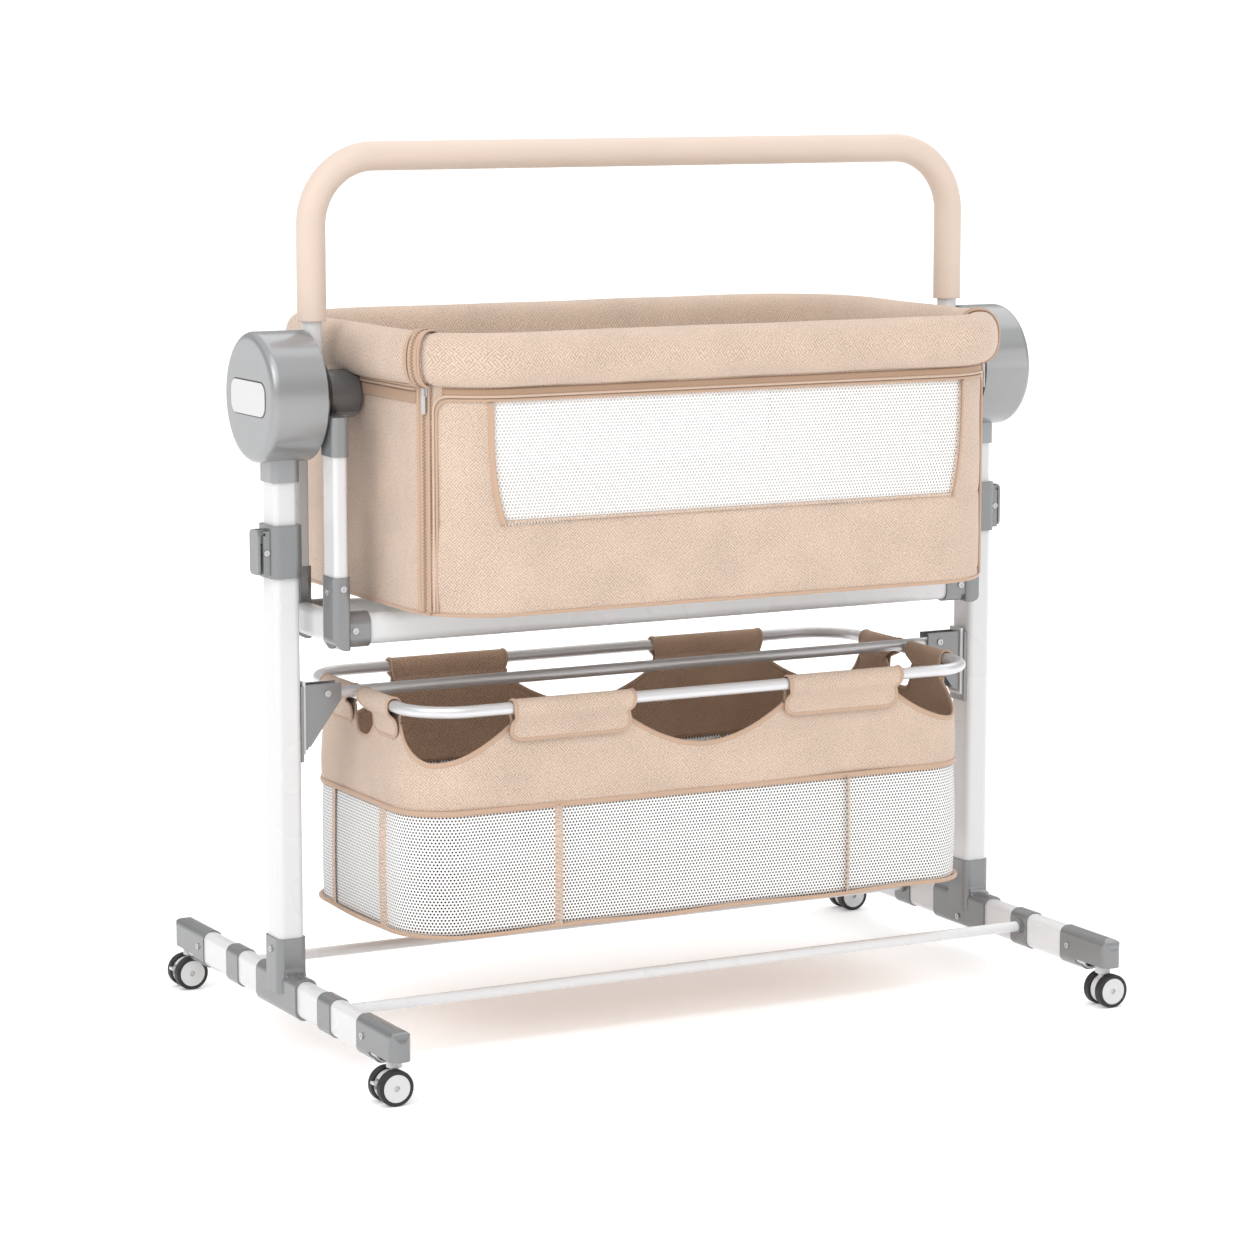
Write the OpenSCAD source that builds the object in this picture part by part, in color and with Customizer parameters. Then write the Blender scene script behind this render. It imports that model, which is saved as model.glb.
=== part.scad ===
// Rocking bassinet on a wheeled stand, with a carry handle and a storage basket.
// Origin on the floor under the middle of the stand. +X runs along the bed,
// -Y is the drop side, +Z is up. Millimetres.

/* [Stand] */
// Distance between the two posts
post_spacing = 880; // [800:1:960]
// Length of each foot over its end caps
foot_length = 610; // [520:1:680]
// Width of the flat-oval foot tube
foot_w = 21; // [18:0.5:28]
// Height of the flat-oval foot tube
foot_h = 40; // [34:0.5:46]
// Height of the foot tube's centre line
foot_z = 58.5; // [50:0.5:70]
// Width of the lower post along the bed
post_w = 30; // [24:0.5:36]
// Depth of the lower post across the bed
post_d = 38; // [30:0.5:46]
// Wall of the post tubes
post_wall = 1.2; // [1:0.1:2]
// Distance of each stretcher bar from the middle of the stand
stretcher_y = 128; // [100:1:160]
// Radius of the stretcher bars
stretcher_r = 6; // [5:0.5:8]

/* [Casters] */
// Radius of a caster wheel
wheel_r = 19.1; // [15:0.1:25]
// Distance of the caster stems from the middle of the stand
stem_y = 283; // [250:1:300]
// Distance from a caster's stem to its axle
caster_trail = 4; // [2:0.5:12]

/* [Height adjustment] */
// Bottom of the height clamp
clamp_z0 = 513; // [480:1:540]
// Top of the height clamp
clamp_z1 = 570; // [550:1:600]

/* [Swing heads] */
// Height of the swing axis
axis_z = 707; // [680:1:730]
// Radius of a swing head drum
drum_r = 70; // [60:1:80]
// Outer face of a drum, from the middle of the bed
drum_x1 = 474.5; // [460:0.5:490]
// Inner rim of a drum, from the middle of the bed
drum_x0 = 412; // [405:0.5:420]
// Length of the push button
button_l = 92; // [80:1:110]
// Height of the push button
button_h = 36; // [30:1:50]
// Radius of the hub
hub_r = 26.5; // [22:0.5:32]

/* [Cradle] */
// Distance of the hangers from the middle of the bed
hanger_x = 398; // [390:0.5:402]
// Distance of the hangers and beams from the swing axis
hanger_y = 52; // [40:1:70]
// Centre height of the two long beams
beam_z = 458.5; // [440:0.5:480]
// Depth of a long beam
beam_d = 24; // [18:1:30]
// Height of a long beam
beam_h = 34; // [26:1:40]

/* [Bed] */
// Half length of the bed's wall
bed_x = 350; // [300:1:360]
// Half depth of the bed's wall
bed_y = 213; // [180:1:240]
// Corner radius of the bed's wall
bed_r = 86; // [60:1:110]
// Underside of the bed
bed_z0 = 487; // [480:1:500]
// Top of the padded rim
bed_z1 = 784; // [740:1:800]
// Height of the padded rim
rim_h = 58; // [40:1:70]
// Width of the padded rim
rim_w = 44; // [30:1:56]
// Thickness of the bed's wall
bed_wall = 6; // [4:0.5:10]
// Angle round each front corner where the drop side is zipped on
zip_angle = 29; // [20:1:45]

/* [Handle] */
// Distance of the handle's legs from the middle of the bed
handle_x = 400.5; // [390:0.5:404]
// Height of the handle's top tube
handle_z = 960; // [900:1:1000]
// Bend radius of the handle
handle_bend = 73; // [50:1:100]
// Radius of the handle's steel tube
handle_r = 11; // [9:0.5:13]
// Radius of the foam sleeve
foam_r = 15.8; // [13:0.1:18]
// Lower end of the foam sleeve
foam_z0 = 786; // [760:1:820]

/* [Basket] */
// Half length of the basket's tube loop
loop_x = 349; // [300:1:360]
// Half depth of the basket's tube loop
loop_y = 159; // [120:1:180]
// Height of the tube loop
loop_z = 378; // [350:1:400]
// Radius of the loop's tube
loop_r = 6.5; // [5:0.5:8]
// Bottom of the basket
basket_z0 = 129; // [110:1:180]
// Seam between the fabric band and the mesh
band_z = 266; // [220:1:300]

/* [Hidden] */
$fn = 64;
px = post_spacing / 2;
gap = 0.1;
cap_y0 = 214;
cap_y1 = foot_length / 2;
rim_z = bed_z1 - rim_h / 2;
corner_x = bed_x - bed_r;
corner_y = bed_y - bed_r;
rim_line = 84;
slider_z = bed_z1 - rim_h - 0.5;
end_r = 37.5;
up_w = post_w - 2 * post_wall - 0.4;
up_d = post_d - 2 * post_wall - 0.4;
brake_x = 9.5;
lever_x = 24;
lever_z = 561;
hang_w = 16;
hang_d = 33;
tabs_x = [-169.5, 169.5];
tab_l = 145;
end_tabs_y = [-51, 51];
end_tab_l = 74;
white = [0.94, 0.94, 0.94];
grey = [0.55, 0.55, 0.56];
dark = [0.33, 0.33, 0.34];
black = [0.06, 0.06, 0.065];
steel = [0.75, 0.75, 0.76];
beige = [0.84, 0.72, 0.61];
tan_ = [0.78, 0.64, 0.51];
foam_c = [0.87, 0.76, 0.68];

// ---- shared shapes ----

// rounded rectangle, exact arcs
module rrect(w, h, r) {
  square([w - 2 * r, h], center = true);
  square([w, h - 2 * r], center = true);
  for (x = [-1, 1], y = [-1, 1])
    translate([x * (w / 2 - r), y * (h / 2 - r)]) circle(r = r);
}

// a profile drawn in (Y, Z), extruded along X and centred on x = 0
module along_x(l) {
  rotate([90, 0, 90]) linear_extrude(height = l, center = true) children();
}

// a profile drawn in (X, Z), extruded along Y and centred on y = 0
module along_y(l) {
  rotate([90, 0, 0]) linear_extrude(height = l, center = true) children();
}

// the same thing at both ends of the bed
module both_ends() {
  children();
  mirror([1, 0, 0]) children();
}

// the same thing at front and back
module both_sides() {
  children();
  mirror([0, 1, 0]) children();
}

// the right-hand copy of a piece drawn on the left
module on_side(side) {
  if (side < 0) children();
  else mirror([1, 0, 0]) children();
}

// wall of the bed's plan shape: outset o from the wall's outer face, thickness t
module bed_ring(o, t, z0, z1) {
  translate([0, 0, z0]) linear_extrude(height = z1 - z0) difference() {
    rrect(2 * (bed_x + o), 2 * (bed_y + o), bed_r + o);
    rrect(2 * (bed_x + o - t), 2 * (bed_y + o - t), bed_r + o - t);
  }
}

// the padded rim: a stadium profile swept round the bed
module rim_profile() {
  translate([0, rim_h / 2 - rim_w / 2]) circle(r = rim_w / 2);
  translate([0, rim_w / 2 - rim_h / 2]) circle(r = rim_w / 2);
  square([rim_w, rim_h - rim_w], center = true);
}

module rim_loop() {
  translate([0, 0, rim_z]) {
    for (s = [-1, 1]) {
      translate([0, s * (corner_y + rim_line), 0]) along_x(2 * corner_x) rim_profile();
      translate([s * (corner_x + rim_line), 0, 0]) along_y(2 * corner_y) rim_profile();
    }
    for (i = [0:3])
      translate([(i == 0 || i == 3 ? 1 : -1) * corner_x, (i < 2 ? 1 : -1) * corner_y, 0])
        rotate([0, 0, 90 * i]) rotate_extrude(angle = 90) translate([rim_line, 0]) rim_profile();
  }
}

// everything in front of the two zips
module drop_side_zone(shift) {
  reach = 220;
  dx = reach * cos(zip_angle);
  dy = reach * sin(zip_angle);
  translate([0, -shift, bed_z0 - 5]) linear_extrude(height = 320) polygon([
    [-corner_x, -corner_y], [-corner_x - dx, -corner_y - dy],
    [-corner_x - dx, -400], [corner_x + dx, -400],
    [corner_x + dx, -corner_y - dy], [corner_x, -corner_y]]);
}

// the outline of a mesh window
module window_zone() {
  rotate([90, 0, 0]) linear_extrude(height = 2 * bed_y + 40, center = true) polygon([
    [-287, 711], [287, 711], [286, 650], [281, 610], [274, 585],
    [-274, 585], [-281, 610], [-286, 650]]);
}

module screw_head(r = 3.6, h = 1.6) {
  difference() {
    cylinder(r = r, h = h);
    translate([0, 0, h - 0.8]) cylinder(r = r * 0.45, h = 1, $fn = 6);
  }
}

// a screw head on a face that looks along +x or -x (s), or along +y or -y
module head_x(p, s) {
  translate(p) rotate([0, 90 * s, 0]) screw_head();
}
module head_y(p, s) {
  translate(p) rotate([-90 * s, 0, 0]) screw_head();
}

// ---- stand ----

module foot_tubes() {
  color(white) both_ends() translate([-px, 0, foot_z]) along_y(524) difference() {
    rrect(foot_w, foot_h, 9);
    rrect(foot_w - 4, foot_h - 4, 7);
  }
}

module tee() {
  difference() {
    union() {
      translate([0, 0, foot_z]) along_y(110) rrect(foot_w + 5, foot_h + 6, 11);
      translate([0, 0, foot_z]) linear_extrude(height = 119 - foot_z) rrect(post_w + 4.5, post_d + 4.5, 9);
      both_sides() translate([0, -post_d / 2 - 2, foot_z + foot_h / 2 + 2]) along_x(foot_w + 1) difference() {
        translate([-9, -3]) square([10, 12]);
        translate([-9, 9]) circle(r = 9);
      }
    }
    translate([0, 0, foot_z]) along_y(120) rrect(foot_w + 2 * gap, foot_h + 2 * gap, 9 + gap);
    translate([0, 0, foot_z + foot_h / 2 + 1.5]) linear_extrude(height = 60)
      rrect(post_w + 2 * gap, post_d + 2 * gap, 7 + gap);
  }
}

module tees() {
  color(grey) both_ends() translate([-px, 0, 0]) tee();
}

// end cap of a foot: round nose, a step under the nose and a hooked lug
module foot_cap() {
  difference() {
    intersection() {
      translate([0, 0, foot_z]) along_y(2 * cap_y1) rrect(24, 43, 10);
      linear_extrude(height = 120) {
        translate([-12, -cap_y1 + 10]) square([24, 81]);
        translate([-2, -cap_y1]) square([4, 20]);
        for (s = [-1, 1]) translate([s * 2, -cap_y1 + 10]) circle(r = 10);
      }
      along_x(30) difference() {
        union() {
          translate([-cap_y1, 47.5]) square([cap_y1 - cap_y0, 19]);
          translate([-cap_y1 + 14, 47.5]) square([cap_y1 - cap_y0 - 14, 33]);
          translate([-cap_y1 + 14, 66]) circle(r = 14);
          translate([-250, 36]) square([250 - cap_y0, 20]);
          translate([-256, 36]) square([10, 7]);
          translate([-256, 39.5]) circle(r = 3.5);
        }
        translate([-262, 43]) square([14, 4.5]);
        translate([-248, 45.25]) circle(r = 2.25);
      }
    }
    translate([0, 0, foot_z]) along_y(526) rrect(foot_w + 2 * gap, foot_h + 2 * gap, 9 + gap);
    translate([0, -stem_y, 40]) cylinder(r = 5.05, h = 33);
  }
}

module foot_caps() {
  color(grey) both_ends() both_sides() translate([-px, 0, 0]) foot_cap();
}

module stretcher_collars() {
  color(grey) both_ends() both_sides() difference() {
    union() {
      translate([-px, -stretcher_y, foot_z]) along_y(33) rrect(foot_w + 3, foot_h + 3, 10);
      translate([-px + 11, -stretcher_y, 62]) rotate([0, 90, 0]) cylinder(r = 9, h = 4);
    }
    translate([-px, -stretcher_y, foot_z]) along_y(40) rrect(foot_w + 2 * gap, foot_h + 2 * gap, 9 + gap);
    translate([-px + 10.8, -stretcher_y, 62]) rotate([0, 90, 0]) cylinder(r = stretcher_r + gap, h = 8);
  }
}

module stretchers() {
  color(white) both_sides() translate([0, -stretcher_y, 62]) rotate([0, 90, 0])
    cylinder(r = stretcher_r, h = post_spacing - 22, center = true);
}

module lower_post() {
  translate([-px, 0, foot_z + foot_h / 2 + 1.5]) linear_extrude(height = 545 - foot_z - foot_h / 2 - 1.5)
    difference() {
      rrect(post_w, post_d, 7);
      rrect(post_w - 2 * post_wall, post_d - 2 * post_wall, 7 - post_wall);
    }
}

// clamp on top of the lower post: guides the upper post and carries the lever
module height_clamp() {
  difference() {
    union() {
      translate([-px, 0, clamp_z0]) linear_extrude(height = clamp_z1 - clamp_z0) rrect(post_w + 7, post_d + 7, 10);
      translate([-px - 25.4, -14, clamp_z0 + 3]) cube([12.9, 28, 34]);
      translate([-px - 24.5, -5, clamp_z0 + 3]) cube([12, 10, 48.5]);
      for (y = [-14, 11]) translate([-px - 25.4, y, clamp_z0 + 3]) cube([12.9, 3, 48.5]);
      translate([-px - lever_x, 0, lever_z]) rotate([90, 0, 0]) cylinder(r = 3.5, h = 10, center = true);
    }
    translate([-px, 0, clamp_z0 - 1]) linear_extrude(height = 545 - clamp_z0 + 1)
      rrect(post_w + 2 * gap, post_d + 2 * gap, 7 + gap);
    translate([-px, 0, clamp_z0]) linear_extrude(height = 80) rrect(up_w + 0.3, up_d + 0.3, 6);
    translate([-px - lever_x, 0, lever_z]) rotate([90, 0, 0]) cylinder(r = 1.55, h = 30, center = true);
  }
}

// over-centre lever on the clamp's outer side
module height_lever() {
  translate([-px - 29.4, 0, 541.2]) along_x(2.8) rrect(24, 48.4, 6);
  for (y = [-10, 5.4]) {
    translate([-px - 28.4, y, 551]) cube([6.4, 4.6, 10]);
    translate([-px - lever_x, y + 4.6, lever_z]) rotate([90, 0, 0]) cylinder(r = 4.4, h = 4.6);
  }
  translate([-px - lever_x, 0, lever_z]) rotate([90, 0, 0]) cylinder(r = 1.5, h = 19, center = true);
}

// ---- basket support ----

module basket_bracket() {
  difference() {
    union() {
      translate([-px + post_w / 2, -15, 311]) cube([3.4, 30, 83]);
      for (z = [335, 372]) translate([-px + post_w / 2, 0, z]) rotate([0, 90, 0]) cylinder(r = 4, h = 8);
      translate([-px + post_w / 2 + 7.2, -9.6, 323]) cube([3, 19.2, 71]);
      for (y = [-9.6, 7.1]) translate([0, y + 2.5, 0]) rotate([90, 0, 0]) linear_extrude(height = 2.5)
        polygon([[-418, 394], [-375, 394], [-375, 376], [-411, 327], [-418, 323]]);
    }
    translate([-391, 0, 383]) rotate([90, 0, 0]) cylinder(r = 2.6, h = 40, center = true);
  }
}

module bracket_strips() {
  color(white) both_ends() difference() {
    translate([-px + post_w / 2 + 3.4, -12, 319]) cube([3.5, 24, 79]);
    for (z = [335, 372]) translate([-px, 0, z]) rotate([0, 90, 0]) cylinder(r = 4.1, h = 40);
  }
}

// closed tube loop with a centre tube that reaches both brackets
module basket_frame() {
  bend = 57;
  color(steel) difference() {
    translate([0, 0, loop_z]) {
      for (s = [-1, 1]) {
        translate([0, s * loop_y, 0]) rotate([0, 90, 0]) cylinder(r = loop_r, h = 2 * (loop_x - bend), center = true);
        translate([s * loop_x, 0, 0]) rotate([90, 0, 0]) cylinder(r = loop_r, h = 2 * (loop_y - bend), center = true);
      }
      for (i = [0:3])
        translate([(i == 0 || i == 3 ? 1 : -1) * (loop_x - bend), (i < 2 ? 1 : -1) * (loop_y - bend), 0])
          rotate([0, 0, 90 * i]) rotate_extrude(angle = 90) translate([bend, 0]) circle(r = loop_r);
      translate([0, 0, 4]) rotate([0, 90, 0]) cylinder(r = loop_r, h = 2 * 411, center = true);
    }
    for (s = [-1, 1]) translate([s * 391, 0, 383]) rotate([90, 0, 0]) cylinder(r = 2.6, h = 40, center = true);
  }
}

module bag_ring(hx, hy, r, t, z0, z1) {
  translate([0, 0, z0]) linear_extrude(height = z1 - z0) difference() {
    rrect(2 * hx, 2 * hy, r);
    rrect(2 * (hx - t), 2 * (hy - t), r - t);
  }
}

// section of a hanging tab that wraps over a tube at (0, loop_z)
module tab_section() {
  difference() {
    translate([0, loop_z]) circle(r = loop_r + 2.5);
    translate([0, loop_z]) circle(r = loop_r + 0.3);
    translate([-20, loop_z - 20]) square([40, 20]);
  }
  polygon([[-loop_r - 2.5, loop_z], [-loop_r - 0.3, loop_z], [-loop_r - 0.3, loop_z - 6],
    [7.2, 346], [7.2, 336], [5.3, 336], [5.3, 345], [-loop_r - 2.5, loop_z - 6.6]]);
  translate([loop_r + 0.3, 325]) square([2.2, loop_z - 325]);
}

// fabric band with scooped edges, hung on the loop by wrap-over tabs
module basket_band() {
  side = loop_y - loop_r - 2.5;
  end = loop_x - loop_r - 2.5;
  color(beige) {
    difference() {
      bag_ring(end + 2.2, side + 2.2, 52, 2.2, band_z, 348);
      for (y = [-1, 1], x = [-297, 0, 297]) translate([x, y * 150, 372])
        rotate([90, 0, 0]) cylinder(r = x == 0 ? 58 : 52, h = 16, center = true);
      for (x = [-1, 1]) translate([x * 342, 0, 352]) rotate([0, 90, 0]) cylinder(r = 14, h = 16, center = true);
      for (x = [-1, 1], y = [-1, 1]) translate([x * 325, y * 140, 352]) cube([50, 62, 40], center = true);
    }
    for (y = [-1, 1], x = tabs_x) translate([x, y * loop_y, 0])
      rotate([0, 0, y < 0 ? 0 : 180]) along_x(tab_l) tab_section();
    for (x = [-1, 1], y = end_tabs_y) translate([x * loop_x, y, 0])
      rotate([0, 0, x < 0 ? -90 : 90]) along_x(end_tab_l) tab_section();
  }
}

// mesh walls, floor and bottom hem of the basket
module basket_mesh() {
  color([0.93, 0.92, 0.91]) {
    bag_ring(350, 147, 60, 2.2, basket_z0, band_z - 0.2);
    translate([0, 0, basket_z0]) linear_extrude(height = 4) rrect(2 * 357, 2 * 152, 65);
  }
}

module stand_screws() {
  color(steel) both_ends() {
    head_x([-px - post_w / 2 - 2.25, 0, 106], -1);
    head_x([-px + foot_w / 2 + 2.5, 0, 48], 1);
    translate([-px - 21.9, -14, 541]) rotate([90, 0, 0]) screw_head(3.2);
    both_sides() {
      head_x([-px - 12, -229, 60], -1);
      head_x([-px + 12, -229, 60], 1);
      head_y([-391, -9.6, 383], -1);
    }
    translate([-391, 0, 383]) rotate([90, 0, 0]) cylinder(r = 2.5, h = 19.2, center = true);
  }
}

// ---- masts ----

module upper_post() {
  translate([-px, 0, 330]) linear_extrude(height = 316) difference() {
    rrect(up_w, up_d, 5.6);
    rrect(up_w - 2 * post_wall, up_d - 2 * post_wall, 5.6 - post_wall);
  }
}

// drum profile: radius along x, depth inwards along y
module drum_profile(r, d, e) {
  square([r - e, d]);
  translate([0, e]) square([r, d - e]);
  translate([r - e, e]) circle(r = e);
}

module drum() {
  depth = drum_x1 - drum_x0;
  difference() {
    union() {
      translate([-drum_x1, 0, axis_z]) rotate([0, 90, 0]) rotate_extrude() intersection() {
        drum_profile(drum_r, depth, 9);
        square([100, 100]);
      }
      translate([-px, 0, 616]) linear_extrude(height = 40) rrect(post_w + 3, post_d + 3, 8);
    }
    translate([-drum_x1 + 4, 0, axis_z]) rotate([0, 90, 0]) cylinder(r = drum_r - 3.2, h = depth);
    translate([-px, 0, 600]) linear_extrude(height = 46.2) rrect(up_w + 2 * gap, up_d + 2 * gap, 5.6 + gap);
    translate([-drum_x1 + 2, 0, axis_z]) along_x(12) rrect(button_l + 0.8, button_h + 0.8, 12.4);
  }
}

// dark plate that closes the drum and carries the hub's shaft
module bearing_plate() {
  difference() {
    union() {
      translate([-drum_x0 - 6, 0, axis_z]) rotate([0, 90, 0]) cylinder(r = drum_r - 3.4, h = 5.8);
      translate([-drum_x0 - 26, 0, axis_z]) rotate([0, 90, 0]) cylinder(r = 24, h = 22);
    }
    translate([-drum_x0 - 30, 0, axis_z]) rotate([0, 90, 0]) cylinder(r = 15.05, h = 40);
  }
}

module button() {
  intersection() {
    translate([-drum_x1 + 4, 0, axis_z]) along_x(10) rrect(button_l, button_h, 12);
    translate([-drum_x1 - 1 + 500, 0, axis_z]) rotate([0, 90, 0]) cylinder(r = 100, h = 1000, center = true);
  }
  translate([-drum_x1 + 9, 0, axis_z]) rotate([0, 90, 0]) cylinder(r = 13, h = 12);
}

// ---- cradle ----

// shaft, handle journal, hub barrel and the yoke with its two hanger sockets
module hub() {
  difference() {
    union() {
      translate([-428, 0, axis_z]) rotate([0, 90, 0]) cylinder(r = 15, h = 20);
      translate([-411, 0, axis_z]) rotate([0, 90, 0]) cylinder(r = 24, h = 20);
      translate([-393, 0, axis_z]) rotate([0, 90, 0]) rotate_extrude() intersection() {
        union() {
          square([hub_r, 35]);
          square([hub_r - 7, 42]);
          translate([hub_r - 7, 35]) circle(r = 7);
        }
        square([60, 60]);
      }
      translate([-392.8, -46, 668]) cube([12, 92, 20]);
      both_sides() translate([-hanger_x, -hanger_y, 646]) linear_extrude(height = 42) rrect(hang_w + 4, hang_d + 4, 6.5);
      translate([-410.6, 0, axis_z]) rotate([0, 90, 0]) difference() {
        cylinder(r = 63, h = 3);
        translate([0, 0, -1]) cylinder(r = end_r + 0.5, h = 5);
        translate([-37 - 50, 0, 0]) cube([174, 200, 40], center = true);
      }
    }
    both_sides() translate([-hanger_x, -hanger_y, 640]) linear_extrude(height = 36)
      rrect(hang_w + 2 * gap, hang_d + 2 * gap, 5 + gap);
  }
}

module hanger_tubes() {
  color(white) both_ends() both_sides() translate([-hanger_x, -hanger_y, 488]) linear_extrude(height = 188)
    difference() {
      rrect(hang_w, hang_d, 5);
      rrect(hang_w - 3, hang_d - 3, 3.5);
    }
}

// L-shaped corner: vertical socket for a hanger, barrel along X for a beam
module cradle_corner() {
  difference() {
    union() {
      translate([-hanger_x, -hanger_y, 0]) intersection() {
        translate([0, 0, 438]) linear_extrude(height = 79) rrect(hang_w + 4, hang_d + 4, 6.5);
        along_y(60) {
          translate([-hang_w / 2 - 2, 452]) square([hang_w + 4, 70]);
          translate([-hang_w / 2 - 2 + 14, 452]) circle(r = 14);
        }
      }
      translate([-(hanger_x + 8 + 364) / 2, -hanger_y, beam_z]) along_x(hanger_x + 8 - 364)
        rrect(beam_d + 4.5, beam_h + 4.5, 13);
    }
    translate([-hanger_x, -hanger_y, 488]) linear_extrude(height = 60)
      rrect(hang_w + 2 * gap, hang_d + 2 * gap, 5 + gap);
    translate([-392 + 50, -hanger_y, beam_z]) along_x(100) rrect(beam_d + 2 * gap, beam_h + 2 * gap, 11 + gap);
    translate([-hanger_x, 0, beam_z + 2.5]) along_y(2 * (hanger_y - 14)) rrect(20 + 2 * gap, 34 + 2 * gap, 8 + gap);
  }
}

module cradle_corners() {
  color(grey) both_ends() both_sides() cradle_corner();
}

module cradle_beams() {
  color(white) both_sides() translate([0, -hanger_y, beam_z]) along_x(2 * 391.8) difference() {
    rrect(beam_d, beam_h, 11);
    rrect(beam_d - 3, beam_h - 3, 9.5);
  }
}

module cross_tubes() {
  color(white) both_ends() translate([-hanger_x, 0, beam_z + 2.5]) along_y(2 * (hanger_y - 14.2)) difference() {
    rrect(20, 34, 8);
    rrect(17, 31, 6.5);
  }
}

module cradle_screws() {
  color(steel) both_ends() both_sides() {
    head_y([-hanger_x, -hanger_y - hang_d / 2 - 2, 505], -1);
    head_y([-382.5, -hanger_y - beam_d / 2 - 2.25, beam_z], -1);
    head_x([-hanger_x - hang_w / 2 - 2, -hanger_y, 500], -1);
  }
}

// ---- bed ----

module bed_wall_ring(z1) {
  difference() {
    bed_ring(0, bed_wall, bed_z0, z1);
    window_zone();
  }
}

// the back and the two ends of the bed, with its floor
module bassinet_shell() {
  color(beige) {
    difference() {
      bed_wall_ring(bed_z1 - rim_h - 0.2);
      drop_side_zone(0);
    }
    difference() {
      translate([0, 0, bed_z0]) linear_extrude(height = 6)
        rrect(2 * (bed_x - bed_wall / 2), 2 * (bed_y - bed_wall / 2), bed_r - bed_wall / 2);
      intersection() {
        bed_ring(10, 10 + bed_wall + 1.5, bed_z0 - 1, bed_z0 + 8);
        drop_side_zone(0);
      }
    }
    translate([0, 0, beam_z + beam_h / 2]) linear_extrude(height = bed_z0 - beam_z - beam_h / 2)
      rrect(440, 132, 10);
  }
}

module bassinet_rim() {
  color(beige) difference() {
    rim_loop();
    drop_side_zone(0);
    both_ends() translate([-395, 0, axis_z]) rotate([0, 90, 0]) cylinder(r = hub_r + 0.4, h = 45);
  }
}

// the drop side; the piping along its bottom edge is what it folds on
module front_panel() {
  color(beige) {
    intersection() {
      union() {
        bed_wall_ring(bed_z1 - rim_h + 6);
        rim_loop();
      }
      drop_side_zone(0.8);
    }
    translate([0, -bed_y, bed_z0]) rotate([0, 90, 0]) cylinder(r = 1.6, h = 2 * corner_x - 2, center = true);
  }
}

module window_mesh(s) {
  color([0.93, 0.92, 0.91]) intersection() {
    bed_ring(-2, 2, bed_z0, bed_z1 - rim_h);
    window_zone();
    translate([0, s * 300, 600]) cube([1000, 600, 400], center = true);
  }
}

module mattress() {
  color([0.93, 0.9, 0.86]) translate([0, 0, bed_z0 + 6.2]) linear_extrude(height = 40)
    rrect(2 * (bed_x - bed_wall - 6), 2 * (bed_y - bed_wall - 7), bed_r - bed_wall - 6);
}

// a zip's slider and pull, just behind the edge of the drop side
module zip_slider() {
  a = 180 + zip_angle - 4.2;
  color(steel) translate([-corner_x, -corner_y, 0]) rotate([0, 0, a]) translate([bed_r + 0.5, 0, 0]) {
    translate([0, -3.6, slider_z - 10]) cube([3.2, 7.2, 10]);
    translate([1, -1.2, slider_z - 12]) cube([4.2, 2.4, 11]);
    translate([3.4, -2.6, slider_z - 28]) cube([1.6, 5.2, 19]);
  }
}

// ---- handle ----

module handle_path(r, z0) {
  for (s = [-1, 1]) {
    translate([s * handle_x, 0, z0]) cylinder(r = r, h = handle_z - handle_bend - z0);
    translate([s * (handle_x - handle_bend), 0, handle_z - handle_bend]) rotate([90, 0, 0])
      rotate([0, 0, s > 0 ? 0 : 90]) rotate_extrude(angle = 90) translate([handle_bend, 0]) circle(r = r);
  }
  translate([0, 0, handle_z]) rotate([0, 90, 0]) cylinder(r = r, h = 2 * (handle_x - handle_bend), center = true);
}

module handle_tube() {
  color(white) handle_path(handle_r, axis_z + end_r + 0.1);
}

module handle_foam() {
  color(foam_c) difference() {
    handle_path(foam_r, foam_z0);
    handle_path(handle_r + gap, foam_z0 - 5);
  }
}

// pivot ends: rings that turn on the hubs' journals and carry the tube
module handle_ends() {
  color(black) both_ends() difference() {
    translate([-410.7, 0, axis_z]) rotate([0, 90, 0]) cylinder(r = end_r, h = 17.4);
    translate([-420, 0, axis_z]) rotate([0, 90, 0]) cylinder(r = 24.05, h = 40);
  }
}

// ---- casters ----
// Drawn at the origin with the stem on the Z axis and the axle at +x * trail.

module caster_body() {
  difference() {
    union() {
      cylinder(r = 5, h = 70);
      translate([0, 0, 2 * wheel_r + 0.5]) cylinder(r = 8.5, h = 45.5 - 2 * wheel_r);
      translate([caster_trail, 0, wheel_r]) rotate([90, 0, 0]) cylinder(r = 16.5, h = 10.6, center = true);
      translate([caster_trail, 0, wheel_r]) rotate([90, 0, 0]) cylinder(r = 3, h = 28, center = true);
    }
    translate([0, 0, -5]) cylinder(r = 5, h = 10);
    translate([caster_trail + 16, 0, wheel_r + 3]) cube([18, 9.5, 11], center = true);
    translate([caster_trail + brake_x, 0, wheel_r + 3]) rotate([90, 0, 0]) cylinder(r = 1.25, h = 30, center = true);
  }
}

module caster_pair() {
  for (s = [-1, 1]) translate([caster_trail, s * 11, wheel_r]) rotate([90, 0, 0]) children();
}

module caster_tyres() {
  caster_pair() rotate_extrude() difference() {
    union() {
      translate([14.8, -5]) square([wheel_r - 16.3, 10]);
      translate([14.8, -3.5]) square([wheel_r - 14.8, 7]);
      for (y = [-3.5, 3.5]) translate([wheel_r - 1.5, y]) circle(r = 1.5);
    }
  }
}

module caster_wheels() {
  caster_pair() difference() {
    union() {
      cylinder(r = 14.7, h = 10, center = true);
    }
    cylinder(r = 3.05, h = 40, center = true);
  }
}

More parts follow.
